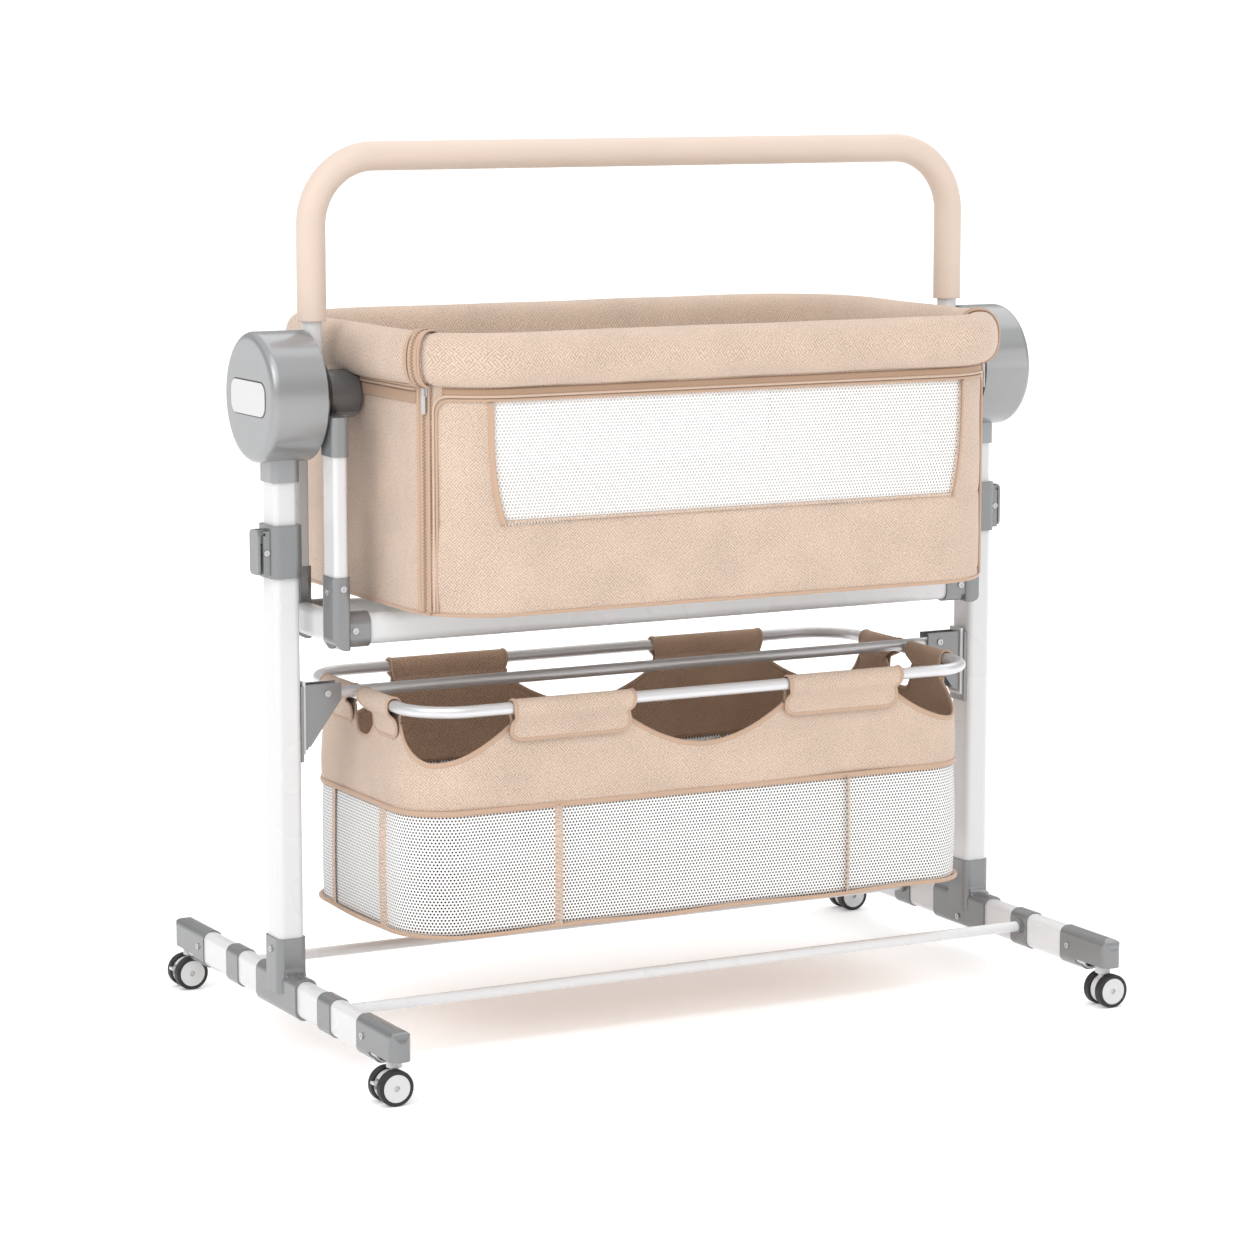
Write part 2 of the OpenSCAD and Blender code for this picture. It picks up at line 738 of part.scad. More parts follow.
// brake tab between the wheels, hinged on the caster's body
module caster_brake() {
  translate([caster_trail + brake_x, 0, wheel_r + 3]) rotate([90, 0, 0]) {
    linear_extrude(height = 9, center = true) {
      circle(r = 1.9);
      polygon([[0, -1.9], [11.5, 0.4], [11.5, 3.2], [0, 1.9]]);
    }
    cylinder(r = 1.2, h = 10.6, center = true);
  }
}

module at_caster(sx, sy) {
  translate([sx * px, sy * stem_y, 0]) rotate([0, 0, sx > 0 ? 0 : 180]) children();
}

foot_tubes();
tees();
foot_caps();
stretcher_collars();
stretchers();
color(white) lower_post();  // left_lower_post
color(white) on_side(1) lower_post();  // right_lower_post
color(grey) height_clamp();  // left_height_clamp
color(grey) on_side(1) height_clamp();  // right_height_clamp
color(grey) basket_bracket();  // left_basket_bracket
color(grey) on_side(1) basket_bracket();  // right_basket_bracket
bracket_strips();
basket_frame();
basket_band();
basket_mesh();
stand_screws();
color(white) upper_post();  // left_upper_post
color(white) on_side(1) upper_post();  // right_upper_post
color(grey) drum();  // left_drum
color(grey) on_side(1) drum();  // right_drum
color(dark) bearing_plate();  // left_bearing_plate
color(dark) on_side(1) bearing_plate();  // right_bearing_plate
color(white) button();  // left_button
color(white) on_side(1) button();  // right_button
color(grey) height_lever();  // left_height_lever
color(grey) on_side(1) height_lever();  // right_height_lever
color(dark) hub();  // left_hub
color(dark) on_side(1) hub();  // right_hub
hanger_tubes();
cradle_corners();
cradle_beams();
cross_tubes();
bassinet_shell();
bassinet_rim();
window_mesh(1);  // rear_window
mattress();
cradle_screws();
front_panel();
window_mesh(-1);  // front_window
handle_tube();
handle_foam();
handle_ends();
zip_slider();  // left_zip_slider
on_side(1) zip_slider();  // right_zip_slider
color(white) at_caster(-1, -1) caster_body();  // front_left_caster
color(black) at_caster(-1, -1) caster_tyres();  // front_left_tyres
color(white) at_caster(-1, -1) caster_wheels();  // front_left_wheels
color(white) at_caster(-1, -1) caster_brake();  // front_left_brake
color(white) at_caster(1, -1) caster_body();  // front_right_caster
color(black) at_caster(1, -1) caster_tyres();  // front_right_tyres
color(white) at_caster(1, -1) caster_wheels();  // front_right_wheels
color(white) at_caster(1, -1) caster_brake();  // front_right_brake
color(white) at_caster(-1, 1) caster_body();  // rear_left_caster
color(black) at_caster(-1, 1) caster_tyres();  // rear_left_tyres
color(white) at_caster(-1, 1) caster_wheels();  // rear_left_wheels
color(white) at_caster(-1, 1) caster_brake();  // rear_left_brake
color(white) at_caster(1, 1) caster_body();  // rear_right_caster
color(black) at_caster(1, 1) caster_tyres();  // rear_right_tyres
color(white) at_caster(1, 1) caster_wheels();  // rear_right_wheels
color(white) at_caster(1, 1) caster_brake();  // rear_right_brake
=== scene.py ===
import math

import bmesh
import bpy
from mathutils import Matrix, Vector, noise


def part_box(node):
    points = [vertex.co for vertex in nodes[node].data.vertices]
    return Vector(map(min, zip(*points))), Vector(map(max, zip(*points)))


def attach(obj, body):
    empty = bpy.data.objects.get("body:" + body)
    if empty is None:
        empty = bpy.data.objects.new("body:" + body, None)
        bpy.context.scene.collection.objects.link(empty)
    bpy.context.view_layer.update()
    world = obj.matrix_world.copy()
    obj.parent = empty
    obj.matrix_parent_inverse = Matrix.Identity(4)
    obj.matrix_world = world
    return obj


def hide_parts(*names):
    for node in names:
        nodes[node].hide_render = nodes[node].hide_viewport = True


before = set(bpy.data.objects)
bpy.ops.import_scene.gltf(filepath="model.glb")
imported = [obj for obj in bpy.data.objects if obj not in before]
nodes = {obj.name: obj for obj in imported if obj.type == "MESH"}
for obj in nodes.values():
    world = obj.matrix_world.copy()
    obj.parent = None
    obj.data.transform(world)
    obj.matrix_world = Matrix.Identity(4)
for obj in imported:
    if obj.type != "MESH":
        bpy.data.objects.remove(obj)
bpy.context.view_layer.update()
scene = bpy.context.scene

# ---- sizes, read from the frame ----

MM = 0.001
SHELL_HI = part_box("bassinet_shell")[1]
RIM_LO, RIM_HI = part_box("bassinet_rim")
WIN_LO, WIN_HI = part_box("front_window")
PAD_LO, PAD_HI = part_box("mattress")

# The bed's plan, its rim and the place of the two zips round its front corners.
BED_X = SHELL_HI.x
BED_Y = SHELL_HI.y
BED_R = 86 * MM
BED_Z0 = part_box("front_panel")[0].z
RIM_X = RIM_HI.x
RIM_Y = RIM_HI.y
RIM_Z0 = RIM_LO.z
RIM_Z1 = RIM_HI.z
RIM_W = 44 * MM
ZIP_ANGLE = math.radians(29)
WIN_Z0 = WIN_LO.z
WIN_Z1 = WIN_HI.z
WIN_HALF = WIN_HI.x

# The centre line of the basket's tube loop, and the seam between its fabric and its mesh.
LOOP_Z = 378 * MM
LOOP_X = 349 * MM
LOOP_Y = 159 * MM
LOOP_R = 57 * MM
BAND_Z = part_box("basket_band")[0].z


class Plan:
    """A rounded rectangle seen from above.

    Arc length s is 0 at the middle of the front and grows towards +X."""

    def __init__(self, half_x, half_y, radius):
        self.a = half_x - radius
        self.b = half_y - radius
        self.r = radius
        self.arc = radius * math.pi / 2
        self.length = 4 * self.a + 4 * self.b + 4 * self.arc

    def at(self, s):
        """The point and the outward normal at arc length s."""
        s = s % self.length
        a, b, r, arc = self.a, self.b, self.r, self.arc
        runs = (
            (a, (0, -b - r), (1, 0)),
            (arc, (a, -b), -90),
            (2 * b, (a + r, -b), (0, 1)),
            (arc, (a, b), 0),
            (2 * a, (a, b + r), (-1, 0)),
            (arc, (-a, b), 90),
            (2 * b, (-a - r, b), (0, -1)),
            (arc, (-a, -b), 180),
            (a + 1, (-a, -b - r), (1, 0)),
        )
        for length, start, way in runs:
            if s <= length:
                break
            s -= length
        if isinstance(way, tuple):
            point = Vector((start[0] + way[0] * s, start[1] + way[1] * s))
            return point, Vector((way[1], -way[0]))
        t = math.radians(way) + s / r
        normal = Vector((math.cos(t), math.sin(t)))
        return Vector(start) + normal * r, normal

    def point(self, s, z, out=0.0):
        p, n = self.at(s)
        return Vector((p.x + n.x * out, p.y + n.y * out, z))


def frange(start, stop, count):
    return [start + (stop - start) * i / (count - 1) for i in range(count)]


def smooth(t):
    t = min(1.0, max(0.0, t))
    return t * t * (3 - 2 * t)


# ---- materials ----


def srgb(r, g, b):
    """A colour given as 0 to 255 on screen, as the linear value that a shader takes."""
    """A colour given in everyday 0 to 255 steps, as the linear values that a shader takes."""
    def linear(c):
        return ((c / 255 + 0.055) / 1.055) ** 2.4 if c > 10 else c / 255 / 12.92
    return linear(r), linear(g), linear(b), 1.0


class Shader:
    """A material with a Principled shader, and short ways to add nodes to it."""

    def __init__(self, name, colour, roughness, **extra):
        self.material = bpy.data.materials.new(name)
        self.material.use_nodes = True
        self.tree = self.material.node_tree
        self.tree.nodes.clear()
        self.out = self.tree.nodes.new("ShaderNodeOutputMaterial")
        self.main = self.tree.nodes.new("ShaderNodeBsdfPrincipled")
        self.tree.links.new(self.main.outputs[0], self.out.inputs[0])
        self.main.inputs["Base Color"].default_value = colour
        self.main.inputs["Roughness"].default_value = roughness
        for key, value in extra.items():
            self.main.inputs[key.replace("_", " ")].default_value = value

    def add(self, kind, *inputs, **props):
        made = self.tree.nodes.new("ShaderNode" + kind)
        for key, value in props.items():
            setattr(made, key, value)
        for i, value in enumerate(inputs):
            if value is None:
                continue
            if isinstance(value, bpy.types.NodeSocket):
                self.tree.links.new(value, made.inputs[i])
            else:
                made.inputs[i].default_value = value
        return made.outputs[0]

    def math(self, operation, a, b=None):
        return self.add("Math", a, b, operation=operation)

    def noise(self, vector, scale, detail=2.0, rough=0.5):
        made = self.tree.nodes.new("ShaderNodeTexNoise")
        made.inputs["Scale"].default_value = scale
        made.inputs["Detail"].default_value = detail
        made.inputs["Roughness"].default_value = rough
        self.tree.links.new(vector, made.inputs["Vector"])
        return made.outputs[0]

    def coords(self, which):
        return self.tree.nodes.new("ShaderNodeTexCoord").outputs[which]

    def split(self, vector):
        made = self.tree.nodes.new("ShaderNodeSeparateXYZ")
        self.tree.links.new(vector, made.inputs[0])
        return made.outputs

    def mix(self, factor, a, b):
        made = self.tree.nodes.new("ShaderNodeMix")
        made.data_type = "RGBA"
        for socket, value in ((made.inputs[0], factor), (made.inputs[6], a), (made.inputs[7], b)):
            if isinstance(value, bpy.types.NodeSocket):
                self.tree.links.new(value, socket)
            else:
                socket.default_value = value
        return made.outputs[2]

    def ramp(self, value, low, high):
        made = self.tree.nodes.new("ShaderNodeMapRange")
        self.tree.links.new(value, made.inputs[0])
        made.inputs[1].default_value = low
        made.inputs[2].default_value = high
        return made.outputs[0]

    def colour(self, value):
        self.tree.links.new(value, self.main.inputs["Base Color"])

    def roughness(self, value):
        self.tree.links.new(value, self.main.inputs["Roughness"])

    def bump(self, height, strength, distance, radius=0.0):
        made = self.tree.nodes.new("ShaderNodeBump")
        made.inputs["Strength"].default_value = strength
        made.inputs["Distance"].default_value = distance
        self.tree.links.new(height, made.inputs["Height"])
        if radius:
            bevel = self.tree.nodes.new("ShaderNodeBevel")
            bevel.inputs[0].default_value = radius
            bevel.samples = 4
            self.tree.links.new(bevel.outputs[0], made.inputs["Normal"])
        self.tree.links.new(made.outputs[0], self.main.inputs["Normal"])


def shade(colour, factor):
    return tuple(min(1.0, c * factor) for c in colour[:3]) + (1.0,)


def linen(name, colour, pitch=3.6 * MM, column=6.0 * MM, depth=0.5):
    """Linen with short slanted ribs that change direction from one small patch to the next."""
    m = Shader(name, colour, 0.85, Sheen_Weight=0.15)
    uv = m.coords("UV")
    u, v, _ = m.split(uv)
    wobble = m.math("MULTIPLY", m.math("SUBTRACT", m.noise(uv, 210.0, 2.0), 0.5), 3.0 * MM)
    turn = m.math("SIGN", m.math("SUBTRACT", m.noise(uv, 1 / column, 1.0), 0.5))
    slant = m.math("ADD", m.math("ADD", m.math("MULTIPLY", u, turn), v), wobble)
    rib = m.math("SINE", m.math("MULTIPLY", slant, 2 * math.pi / pitch))
    yarn = m.noise(uv, 1300.0, 1.0)
    slub = m.noise(uv, 420.0, 2.0, 0.6)
    height = m.math("ADD", m.math("MULTIPLY", rib, 0.24), m.math("MULTIPLY", m.math("ADD", yarn, slub), 0.62))
    patch = m.noise(uv, 16.0, 3.0)
    tone = m.math("ADD", m.ramp(height, 0.15, 0.95), m.math("MULTIPLY", m.math("SUBTRACT", patch, 0.5), 0.4))
    m.colour(m.mix(tone, shade(colour, depth), shade(colour, 1.16)))
    m.bump(height, 0.6, 0.7 * MM)
    return m.material


def webbing(name, colour):
    """Bias binding and tape: fine cross ribs."""
    m = Shader(name, colour, 0.7, Sheen_Weight=0.2)
    uv = m.coords("UV")
    u, _, _ = m.split(uv)
    rib = m.math("SINE", m.math("MULTIPLY", u, 2 * math.pi / (1.1 * MM)))
    grain = m.noise(uv, 900.0)
    height = m.math("ADD", m.math("MULTIPLY", rib, 0.3), grain)
    m.colour(m.mix(m.ramp(height, -0.2, 1.2), shade(colour, 0.85), shade(colour, 1.1)))
    m.bump(height, 0.35, 0.3 * MM)
    return m.material


def air_mesh(name, colour, behind, pitch=3.9 * MM, hole=1.15 * MM):
    """Knitted mesh: rows of small open holes, each row half a step along."""
    m = Shader(name, colour, 0.75, Sheen_Weight=0.2)
    u, v, _ = m.split(m.coords("UV"))
    row = m.math("DIVIDE", v, pitch * 0.866)
    shift = m.math("MULTIPLY", m.math("FLOOR", row), 0.5)
    across = m.math("SUBTRACT", m.math("FRACT", m.math("ADD", m.math("DIVIDE", u, pitch), shift)), 0.5)
    along = m.math("SUBTRACT", m.math("FRACT", row), 0.5)
    x2 = m.math("POWER", m.math("ABSOLUTE", across), 2.0)
    y2 = m.math("POWER", m.math("MULTIPLY", m.math("ABSOLUTE", along), 0.866), 2.0)
    distance = m.math("SQRT", m.math("ADD", x2, y2))
    is_hole = m.ramp(distance, hole / pitch + 0.03, hole / pitch - 0.03)
    clear = m.tree.nodes.new("ShaderNodeBsdfTransparent")
    clear.inputs[0].default_value = (behind, behind, behind, 1.0)
    joined = m.tree.nodes.new("ShaderNodeMixShader")
    m.tree.links.new(is_hole, joined.inputs[0])
    m.tree.links.new(m.main.outputs[0], joined.inputs[1])
    m.tree.links.new(clear.outputs[0], joined.inputs[2])
    m.tree.links.new(joined.outputs[0], m.out.inputs[0])
    m.bump(distance, 0.4, 0.6 * MM)
    return m.material


def plastic(name, colour, roughness, gleam=0.0, grain=0.1, edge=0.7 * MM):
    """Moulded plastic: fine spark grain, a little uneven gloss and softened edges."""
    m = Shader(name, colour, roughness, Metallic=gleam)
    place = m.coords("Object")
    fine = m.noise(place, 1400.0, 2.0)
    cloudy = m.noise(place, 9.0, 3.0)
    m.colour(m.mix(cloudy, shade(colour, 0.96), shade(colour, 1.04)))
    m.roughness(m.math("ADD", m.math("MULTIPLY", m.math("SUBTRACT", cloudy, 0.5), 0.16), roughness))
    m.bump(fine, grain, 0.12 * MM, edge)
    return m.material


def painted(name, colour):
    """Powder-coated steel tube: glossy, with a slight orange peel."""
    m = Shader(name, colour, 0.27, Coat_Weight=0.25, Coat_Roughness=0.12)
    place = m.coords("Object")
    peel = m.noise(place, 260.0, 2.0)
    m.roughness(m.math("ADD", m.math("MULTIPLY", m.noise(place, 12.0), 0.1), 0.22))
    m.bump(peel, 0.06, 0.15 * MM, 0.6 * MM)
    return m.material


def metal(name, colour, roughness):
    """Plated steel: satin, with faint handling marks."""
    m = Shader(name, colour, roughness, Metallic=0.6)
    place = m.coords("Object")
    marks = m.noise(place, 90.0, 4.0)
    m.roughness(m.math("ADD", m.math("MULTIPLY", marks, 0.14), roughness - 0.06))
    m.bump(m.noise(place, 700.0), 0.05, 0.1 * MM, 0.4 * MM)
    return m.material


def two_tone(name, upper, lower, height, roughness):
    """Moulded plastic in two shades that meet at a height."""
    m = Shader(name, upper, roughness, Metallic=0.45)
    place = m.coords("Object")
    _, _, z = m.split(place)
    fine = m.noise(place, 1400.0, 2.0)
    m.colour(m.mix(m.math("GREATER_THAN", z, height), lower, upper))
    m.bump(fine, 0.12, 0.12 * MM, 0.7 * MM)
    return m.material


def foam(name, colour):
    """Closed-cell foam with a smooth skin and tiny pores."""
    m = Shader(name, colour, 0.55, Sheen_Weight=0.15)
    place = m.coords("Object")
    pores = m.noise(place, 1100.0, 3.0)
    soft = m.noise(place, 18.0, 2.0)
    m.colour(m.mix(soft, shade(colour, 0.97), shade(colour, 1.03)))
    m.bump(pores, 0.12, 0.25 * MM, 2.0 * MM)
    return m.material


def tread(name, colour):
    """Black rubber, slightly dusty where it rolls."""
    m = Shader(name, colour, 0.55)
    place = m.coords("Object")
    dust = m.noise(place, 120.0, 4.0)
    m.colour(m.mix(m.ramp(dust, 0.35, 0.8), colour, shade(colour, 2.2)))
    m.bump(dust, 0.15, 0.2 * MM, 0.6 * MM)
    return m.material


def quilted(name, colour):
    """White cotton with a diamond quilting."""
    m = Shader(name, colour, 0.9, Sheen_Weight=0.3)
    place = m.coords("Object")
    x, y, _ = m.split(place)
    step = 2 * math.pi / (60 * MM)
    one = m.math("ABSOLUTE", m.math("SINE", m.math("MULTIPLY", m.math("ADD", x, y), step / 2)))
    two = m.math("ABSOLUTE", m.math("SINE", m.math("MULTIPLY", m.math("SUBTRACT", x, y), step / 2)))
    puff = m.math("POWER", m.math("MINIMUM", one, two), 0.4)
    weave = m.math("MULTIPLY", m.noise(place, 1200.0), 0.06)
    m.bump(m.math("ADD", puff, weave), 0.7, 4 * MM)
    return m.material


BEIGE = srgb(209, 186, 168)
LINEN = linen("linen", BEIGE)
LINEN_DARK = linen("linen_inside", srgb(206, 173, 148), depth=0.4)
LINING = linen("linen_lining", srgb(232, 226, 218), depth=0.9)
BINDING = webbing("binding", srgb(188, 158, 135))
BINDING_LIGHT = webbing("binding_light", srgb(202, 177, 158))
BINDING_DARK = webbing("binding_dark", srgb(174, 143, 118))
# The teeth's darker colour is partly their own and partly painted shade between them.
TEETH = webbing("zip_teeth", srgb(150, 125, 103))
NET = air_mesh("air_mesh", srgb(244, 243, 242), 0.5)
WINDOW_NET = air_mesh("window_mesh", srgb(244, 243, 242), 0.86)
GREY = plastic("grey_plastic", srgb(134, 135, 136), 0.24, 0.45)
DRUM = plastic("drum_plastic", srgb(152, 153, 154), 0.24, 0.4)
BLACK = plastic("black_plastic", srgb(38, 38, 40), 0.4)
WHITE = plastic("white_plastic", srgb(202, 202, 202), 0.25)
PAINT = painted("white_paint", srgb(213, 213, 214))
HUB = two_tone("hub_plastic", srgb(114, 115, 117), srgb(140, 141, 142), 688.5 * MM, 0.24)
STEEL = metal("bright_tube", srgb(214, 214, 216), 0.34)
SCREW = metal("screw_steel", srgb(190, 190, 192), 0.26)
FOAM = foam("foam_sleeve", srgb(209, 190, 176))
RUBBER = tread("tyre_rubber", srgb(22, 22, 24))
COTTON = quilted("quilted_cotton", srgb(243, 238, 229))


# ---- mesh helpers ----


def add_mesh(name, verts, faces, uvs=None, material=None, smooth_faces=True):
    data = bpy.data.meshes.new(name)
    data.from_pydata([tuple(v) for v in verts], [], faces)
    if uvs:
        layer = data.uv_layers.new(name="UVMap")
        for loop in data.loops:
            layer.data[loop.index].uv = uvs[loop.vertex_index]
    data.shade_smooth() if smooth_faces else data.shade_flat()
    made = bpy.data.objects.new(name, data)
    scene.collection.objects.link(made)
    if material:
        data.materials.append(material)
    return made


def patch(us, vs, point):
    """The points, faces and UVs of one grid; point(u, v) gives a place and uv values are lengths."""
    verts = [point(u, v) for v in vs for u in us]
    uvs = [(u, v) for v in vs for u in us]
    n = len(us)
    faces = [
        (j * n + i, j * n + i + 1, (j + 1) * n + i + 1, (j + 1) * n + i)
        for j in range(len(vs) - 1)
        for i in range(n - 1)
    ]
    return verts, faces, uvs


def weld(obj, distance=0.02 * MM):
    """Joins the points that lie on each other."""
    work = bmesh.new()
    work.from_mesh(obj.data)
    bmesh.ops.remove_doubles(work, verts=work.verts, dist=distance)
    work.to_mesh(obj.data)
    work.free()
    return obj


def thicken(obj, thickness, inner=None):
    """Gives a sheet its thickness, inwards, with another material on its inner face if asked."""
    mod = obj.modifiers.new("thickness", "SOLIDIFY")
    mod.thickness = thickness
    mod.offset = -1
    if inner:
        obj.data.materials.append(inner)
        mod.material_offset = 1
    return obj


def sweep(name, path, material, half_w, half_h, closed=False, up=None, sides=10, square=2.0):
    """A flat-oval tube along path. Its width lies across `up`, which is (place -> direction)."""
    count = len(path)
    verts, uvs = [], []
    run = 0.0
    for i, p in enumerate(path):
        before = path[i - 1] if i or closed else path[i]
        after = path[(i + 1) % count] if i < count - 1 or closed else path[i]
        along = (after - before).normalized()
        face = up(p) if up else Vector((0, 0, 1))
        face = (face - along * face.dot(along)).normalized()
        across = along.cross(face)
        for k in range(sides):
            t = 2 * math.pi * k / sides
            c, s = math.cos(t), math.sin(t)
            x = math.copysign(abs(c) ** (2 / square), c) * half_w
            y = math.copysign(abs(s) ** (2 / square), s) * half_h
            verts.append(p + across * x + face * y)
            uvs.append((run, (half_w + half_h) * 2 * k / sides))
        run += (after - p).length
    faces = []
    for i in range(count if closed else count - 1):
        j = (i + 1) % count
        for k in range(sides):
            m = (k + 1) % sides
            faces.append((i * sides + k, j * sides + k, j * sides + m, i * sides + m))
    if not closed:
        faces.append(tuple(range(sides))[::-1])
        faces.append(tuple((count - 1) * sides + k for k in range(sides)))
    return add_mesh(name, verts, faces, uvs, material)


def outward():
    """A direction that points away from the middle of the bed, level with the floor."""
    return lambda p: Vector((p.x, p.y, 0)).normalized()


def bind(obj, body, slot, *replaced, padded=None, sheet=None):
    """Puts a piece on its body and hides the CAD nodes it stands for. slot, the finish, is not used.
    padded, how full a stuffed piece is, is not used, and sheet, how a single layer of cloth is cut, held and
    carried, is not used."""
    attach(obj, body)
    if replaced:
        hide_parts(*replaced)
    return obj


def surface_area(obj):
    """The area of a single layer of cloth before it is given its thickness."""
    return sum(face.area for face in obj.data.polygons)


def cloth_cut(width, length, held, rests_on, area):
    """How one layer of cloth is cut: its flat width and length, what holds it and its flat area."""
    return dict(flat=(width, length), held=held, rests_on=rests_on, area=min(area, width * length))


def wrinkle(place, size, scale):
    """A soft unevenness of the cloth that depends on the place alone."""
    return size * noise.noise(place * scale)


# ---- the bed ----

BED = Plan(BED_X, BED_Y, BED_R)
RIM_LINE = Plan(RIM_X - RIM_W / 2, RIM_Y - RIM_W / 2, 84 * MM)
ZIP_S = BED.a + BED_R * (math.pi / 2 - ZIP_ANGLE)
ZIP_RIM_S = RIM_LINE.a + RIM_LINE.r * (math.pi / 2 - ZIP_ANGLE)
SEAM_Z = WIN_Z0 - 2 * MM
TAPE = 13 * MM


def window_half(z):
    """Half the width of a mesh window at height z: it narrows towards its lower corners."""
    t = (WIN_Z1 - z) / (WIN_Z1 - WIN_Z0)
    return WIN_HALF - 13 * MM * t ** 3


def seam_here(s):
    """The seam under a window runs along the front and the back, and not round the ends."""
    round_the_front = (s + BED.length / 2) % BED.length - BED.length / 2
    behind = BED.at(s)[0].y > 0 and abs(BED.at(s)[0].x) < BED.a
    return abs(round_the_front) < ZIP_S or behind


def wall_out(s, z):
    """How far the padded wall stands out from its plan: it puffs between its seams."""
    low = math.sin(math.pi * min(1.0, max(0.0, (z - BED_Z0) / (SEAM_Z - BED_Z0)))) if z < SEAM_Z else 0.0
    seam = math.exp(-(((z - SEAM_Z) / (2.2 * MM)) ** 2)) if seam_here(s) else 0.0
    hem = math.exp(-(((z - BED_Z0 - 9 * MM) / (1.5 * MM)) ** 2))
    uneven = wrinkle(BED.point(s, z), 1.6 * MM, 11.0)
    return 1.5 * MM * low - 1.2 * MM * seam - 0.6 * MM * hem + uneven - 0.5 * MM


def wall(name, s0, s1, middle, top):
    """A stretch of the bed's wall as one grid, whose columns bend to the edges of its open window."""
    rows = frange(BED_Z0, WIN_Z0, 33)[:-1] + frange(WIN_Z0, WIN_Z1, 31)[:-1] + frange(WIN_Z1, top, 7)
    side = max(20, int((middle - WIN_HALF - s0) / (8 * MM)))
    span = 70
    verts, uvs = [], []
    for z in rows:
        half = window_half(min(WIN_Z1, max(WIN_Z0, z)))
        left, right = middle - half, middle + half
        for s in frange(s0, left, side)[:-1] + frange(left, right, span)[:-1] + frange(right, s1, side):
            verts.append(BED.point(s, z, wall_out(s, z)))
            uvs.append((s, z))
    n = 2 * side + span - 2
    faces = []
    for j in range(len(rows) - 1):
        in_window = WIN_Z0 - 0.01 * MM <= rows[j] and rows[j + 1] <= WIN_Z1 + 0.01 * MM
        for i in range(n - 1):
            if in_window and side - 1 <= i < side + span - 2:
                continue
            faces.append((j * n + i, j * n + i + 1, (j + 1) * n + i + 1, (j + 1) * n + i))
    return add_mesh(name, verts, faces, uvs, LINEN)


def merge(name, objs):
    """Joins pieces into one object."""
    bpy.ops.object.select_all(action="DESELECT")
    for o in objs:
        o.select_set(True)
    bpy.context.view_layer.objects.active = objs[0]
    bpy.ops.object.join()
    objs[0].name = name
    return objs[0]


def window(name, middle):
    """The mesh of one window, which tucks under the wall round its opening."""
    ts = frange(-1, 1, 61)
    zs = frange(WIN_Z0 - 3 * MM, WIN_Z1 + 3 * MM, 16)

    def at(t, z):
        return BED.point(middle + t * (window_half(min(z, WIN_Z1)) + 3 * MM), z, -2.0 * MM)

    verts, faces, uvs = patch(ts, zs, at)
    uvs = [(u * WIN_HALF, v) for u, v in uvs]
    net = add_mesh(name, verts, faces, uvs, WINDOW_NET)
    area = surface_area(net)
    return thicken(net, 0.6 * MM), area


def bed_path(s_of, z_of, count, out):
    """Points on the bed's wall, where s_of and z_of give arc length and height along the path."""
    return [BED.point(s_of(t), z_of(t), out) for t in frange(0, 1, count)]


def window_bindings(name, middle):
    """Bias tape down both sides of a window and a stitched fold under it."""
    made = []
    for side in (-1, 1):
        def s_of(t, side=side):
            return middle + side * (window_half(WIN_Z1 + (WIN_Z0 - WIN_Z1) * t) + 3.5 * MM)
        path = bed_path(s_of, lambda t: WIN_Z1 + (WIN_Z0 - 2 * MM - WIN_Z1) * t, 30, 0.4 * MM)
        made.append(sweep(name, path, BINDING, 4.2 * MM, 1.3 * MM, up=outward(), square=3.0))
    fold = bed_path(lambda t: middle + (2 * t - 1) * window_half(WIN_Z0), lambda t: WIN_Z0, 80, -0.6 * MM)
    made.append(sweep(name, fold, LINEN, 1.6 * MM, 1.3 * MM, up=outward(), sides=8))
    return merge(name, made)


def rim_section(t):
    """Offset out and up of the roll's surface at angle t; t = 0 points out."""
    c, s = math.cos(t), math.sin(t)
    half_h = (RIM_Z1 - RIM_Z0) / 2
    return (
        math.copysign(abs(c) ** 0.82, c) * (RIM_W / 2 - 0.6 * MM),
        math.copysign(abs(s) ** 0.86, s) * (half_h - 0.6 * MM),
    )


def rim(name, s0, s1, material):
    """A stretch of the padded rim, closed at both ends, with a soft uneven fill."""
    middle_z = (RIM_Z0 + RIM_Z1) / 2
    count = max(40, int((s1 - s0) / (6 * MM)))
    sides = 40
    verts, uvs = [], []
    for i, s in enumerate(frange(s0, s1, count)):
        end = min(s - s0, s1 - s) / (7 * MM)
        pinch = 0.93 + 0.07 * math.sqrt(min(1.0, end)) if end < 1 else 1.0
        for k in range(sides + 1):
            t = 2 * math.pi * k / sides - math.pi / 2
            out, up = rim_section(t)
            lump = 1 + 0.035 * noise.noise(Vector((s * 9, math.cos(t), math.sin(t))))
            lump = min(lump, 1.02) - 0.015
            p, n = RIM_LINE.at(s)
            verts.append(Vector((p.x + n.x * out * pinch * lump, p.y + n.y * out * pinch * lump,
                                 middle_z + up * pinch * lump)))
            uvs.append((s, 0.165 * k / sides))
    faces = []
    n = sides + 1
    for i in range(count - 1):
        for k in range(sides):
            faces.append((i * n + k, (i + 1) * n + k, (i + 1) * n + k + 1, i * n + k + 1))
    faces.append(tuple(range(sides))[::-1])
    faces.append(tuple((count - 1) * n + k for k in range(sides)))
    made = add_mesh(name, verts, faces, uvs, material)
    work = bmesh.new()
    work.from_mesh(made.data)
    bmesh.ops.remove_doubles(work, verts=work.verts, dist=0.02 * MM)
    bmesh.ops.recalc_face_normals(work, faces=work.faces)
    work.to_mesh(made.data)
    work.free()
    return made


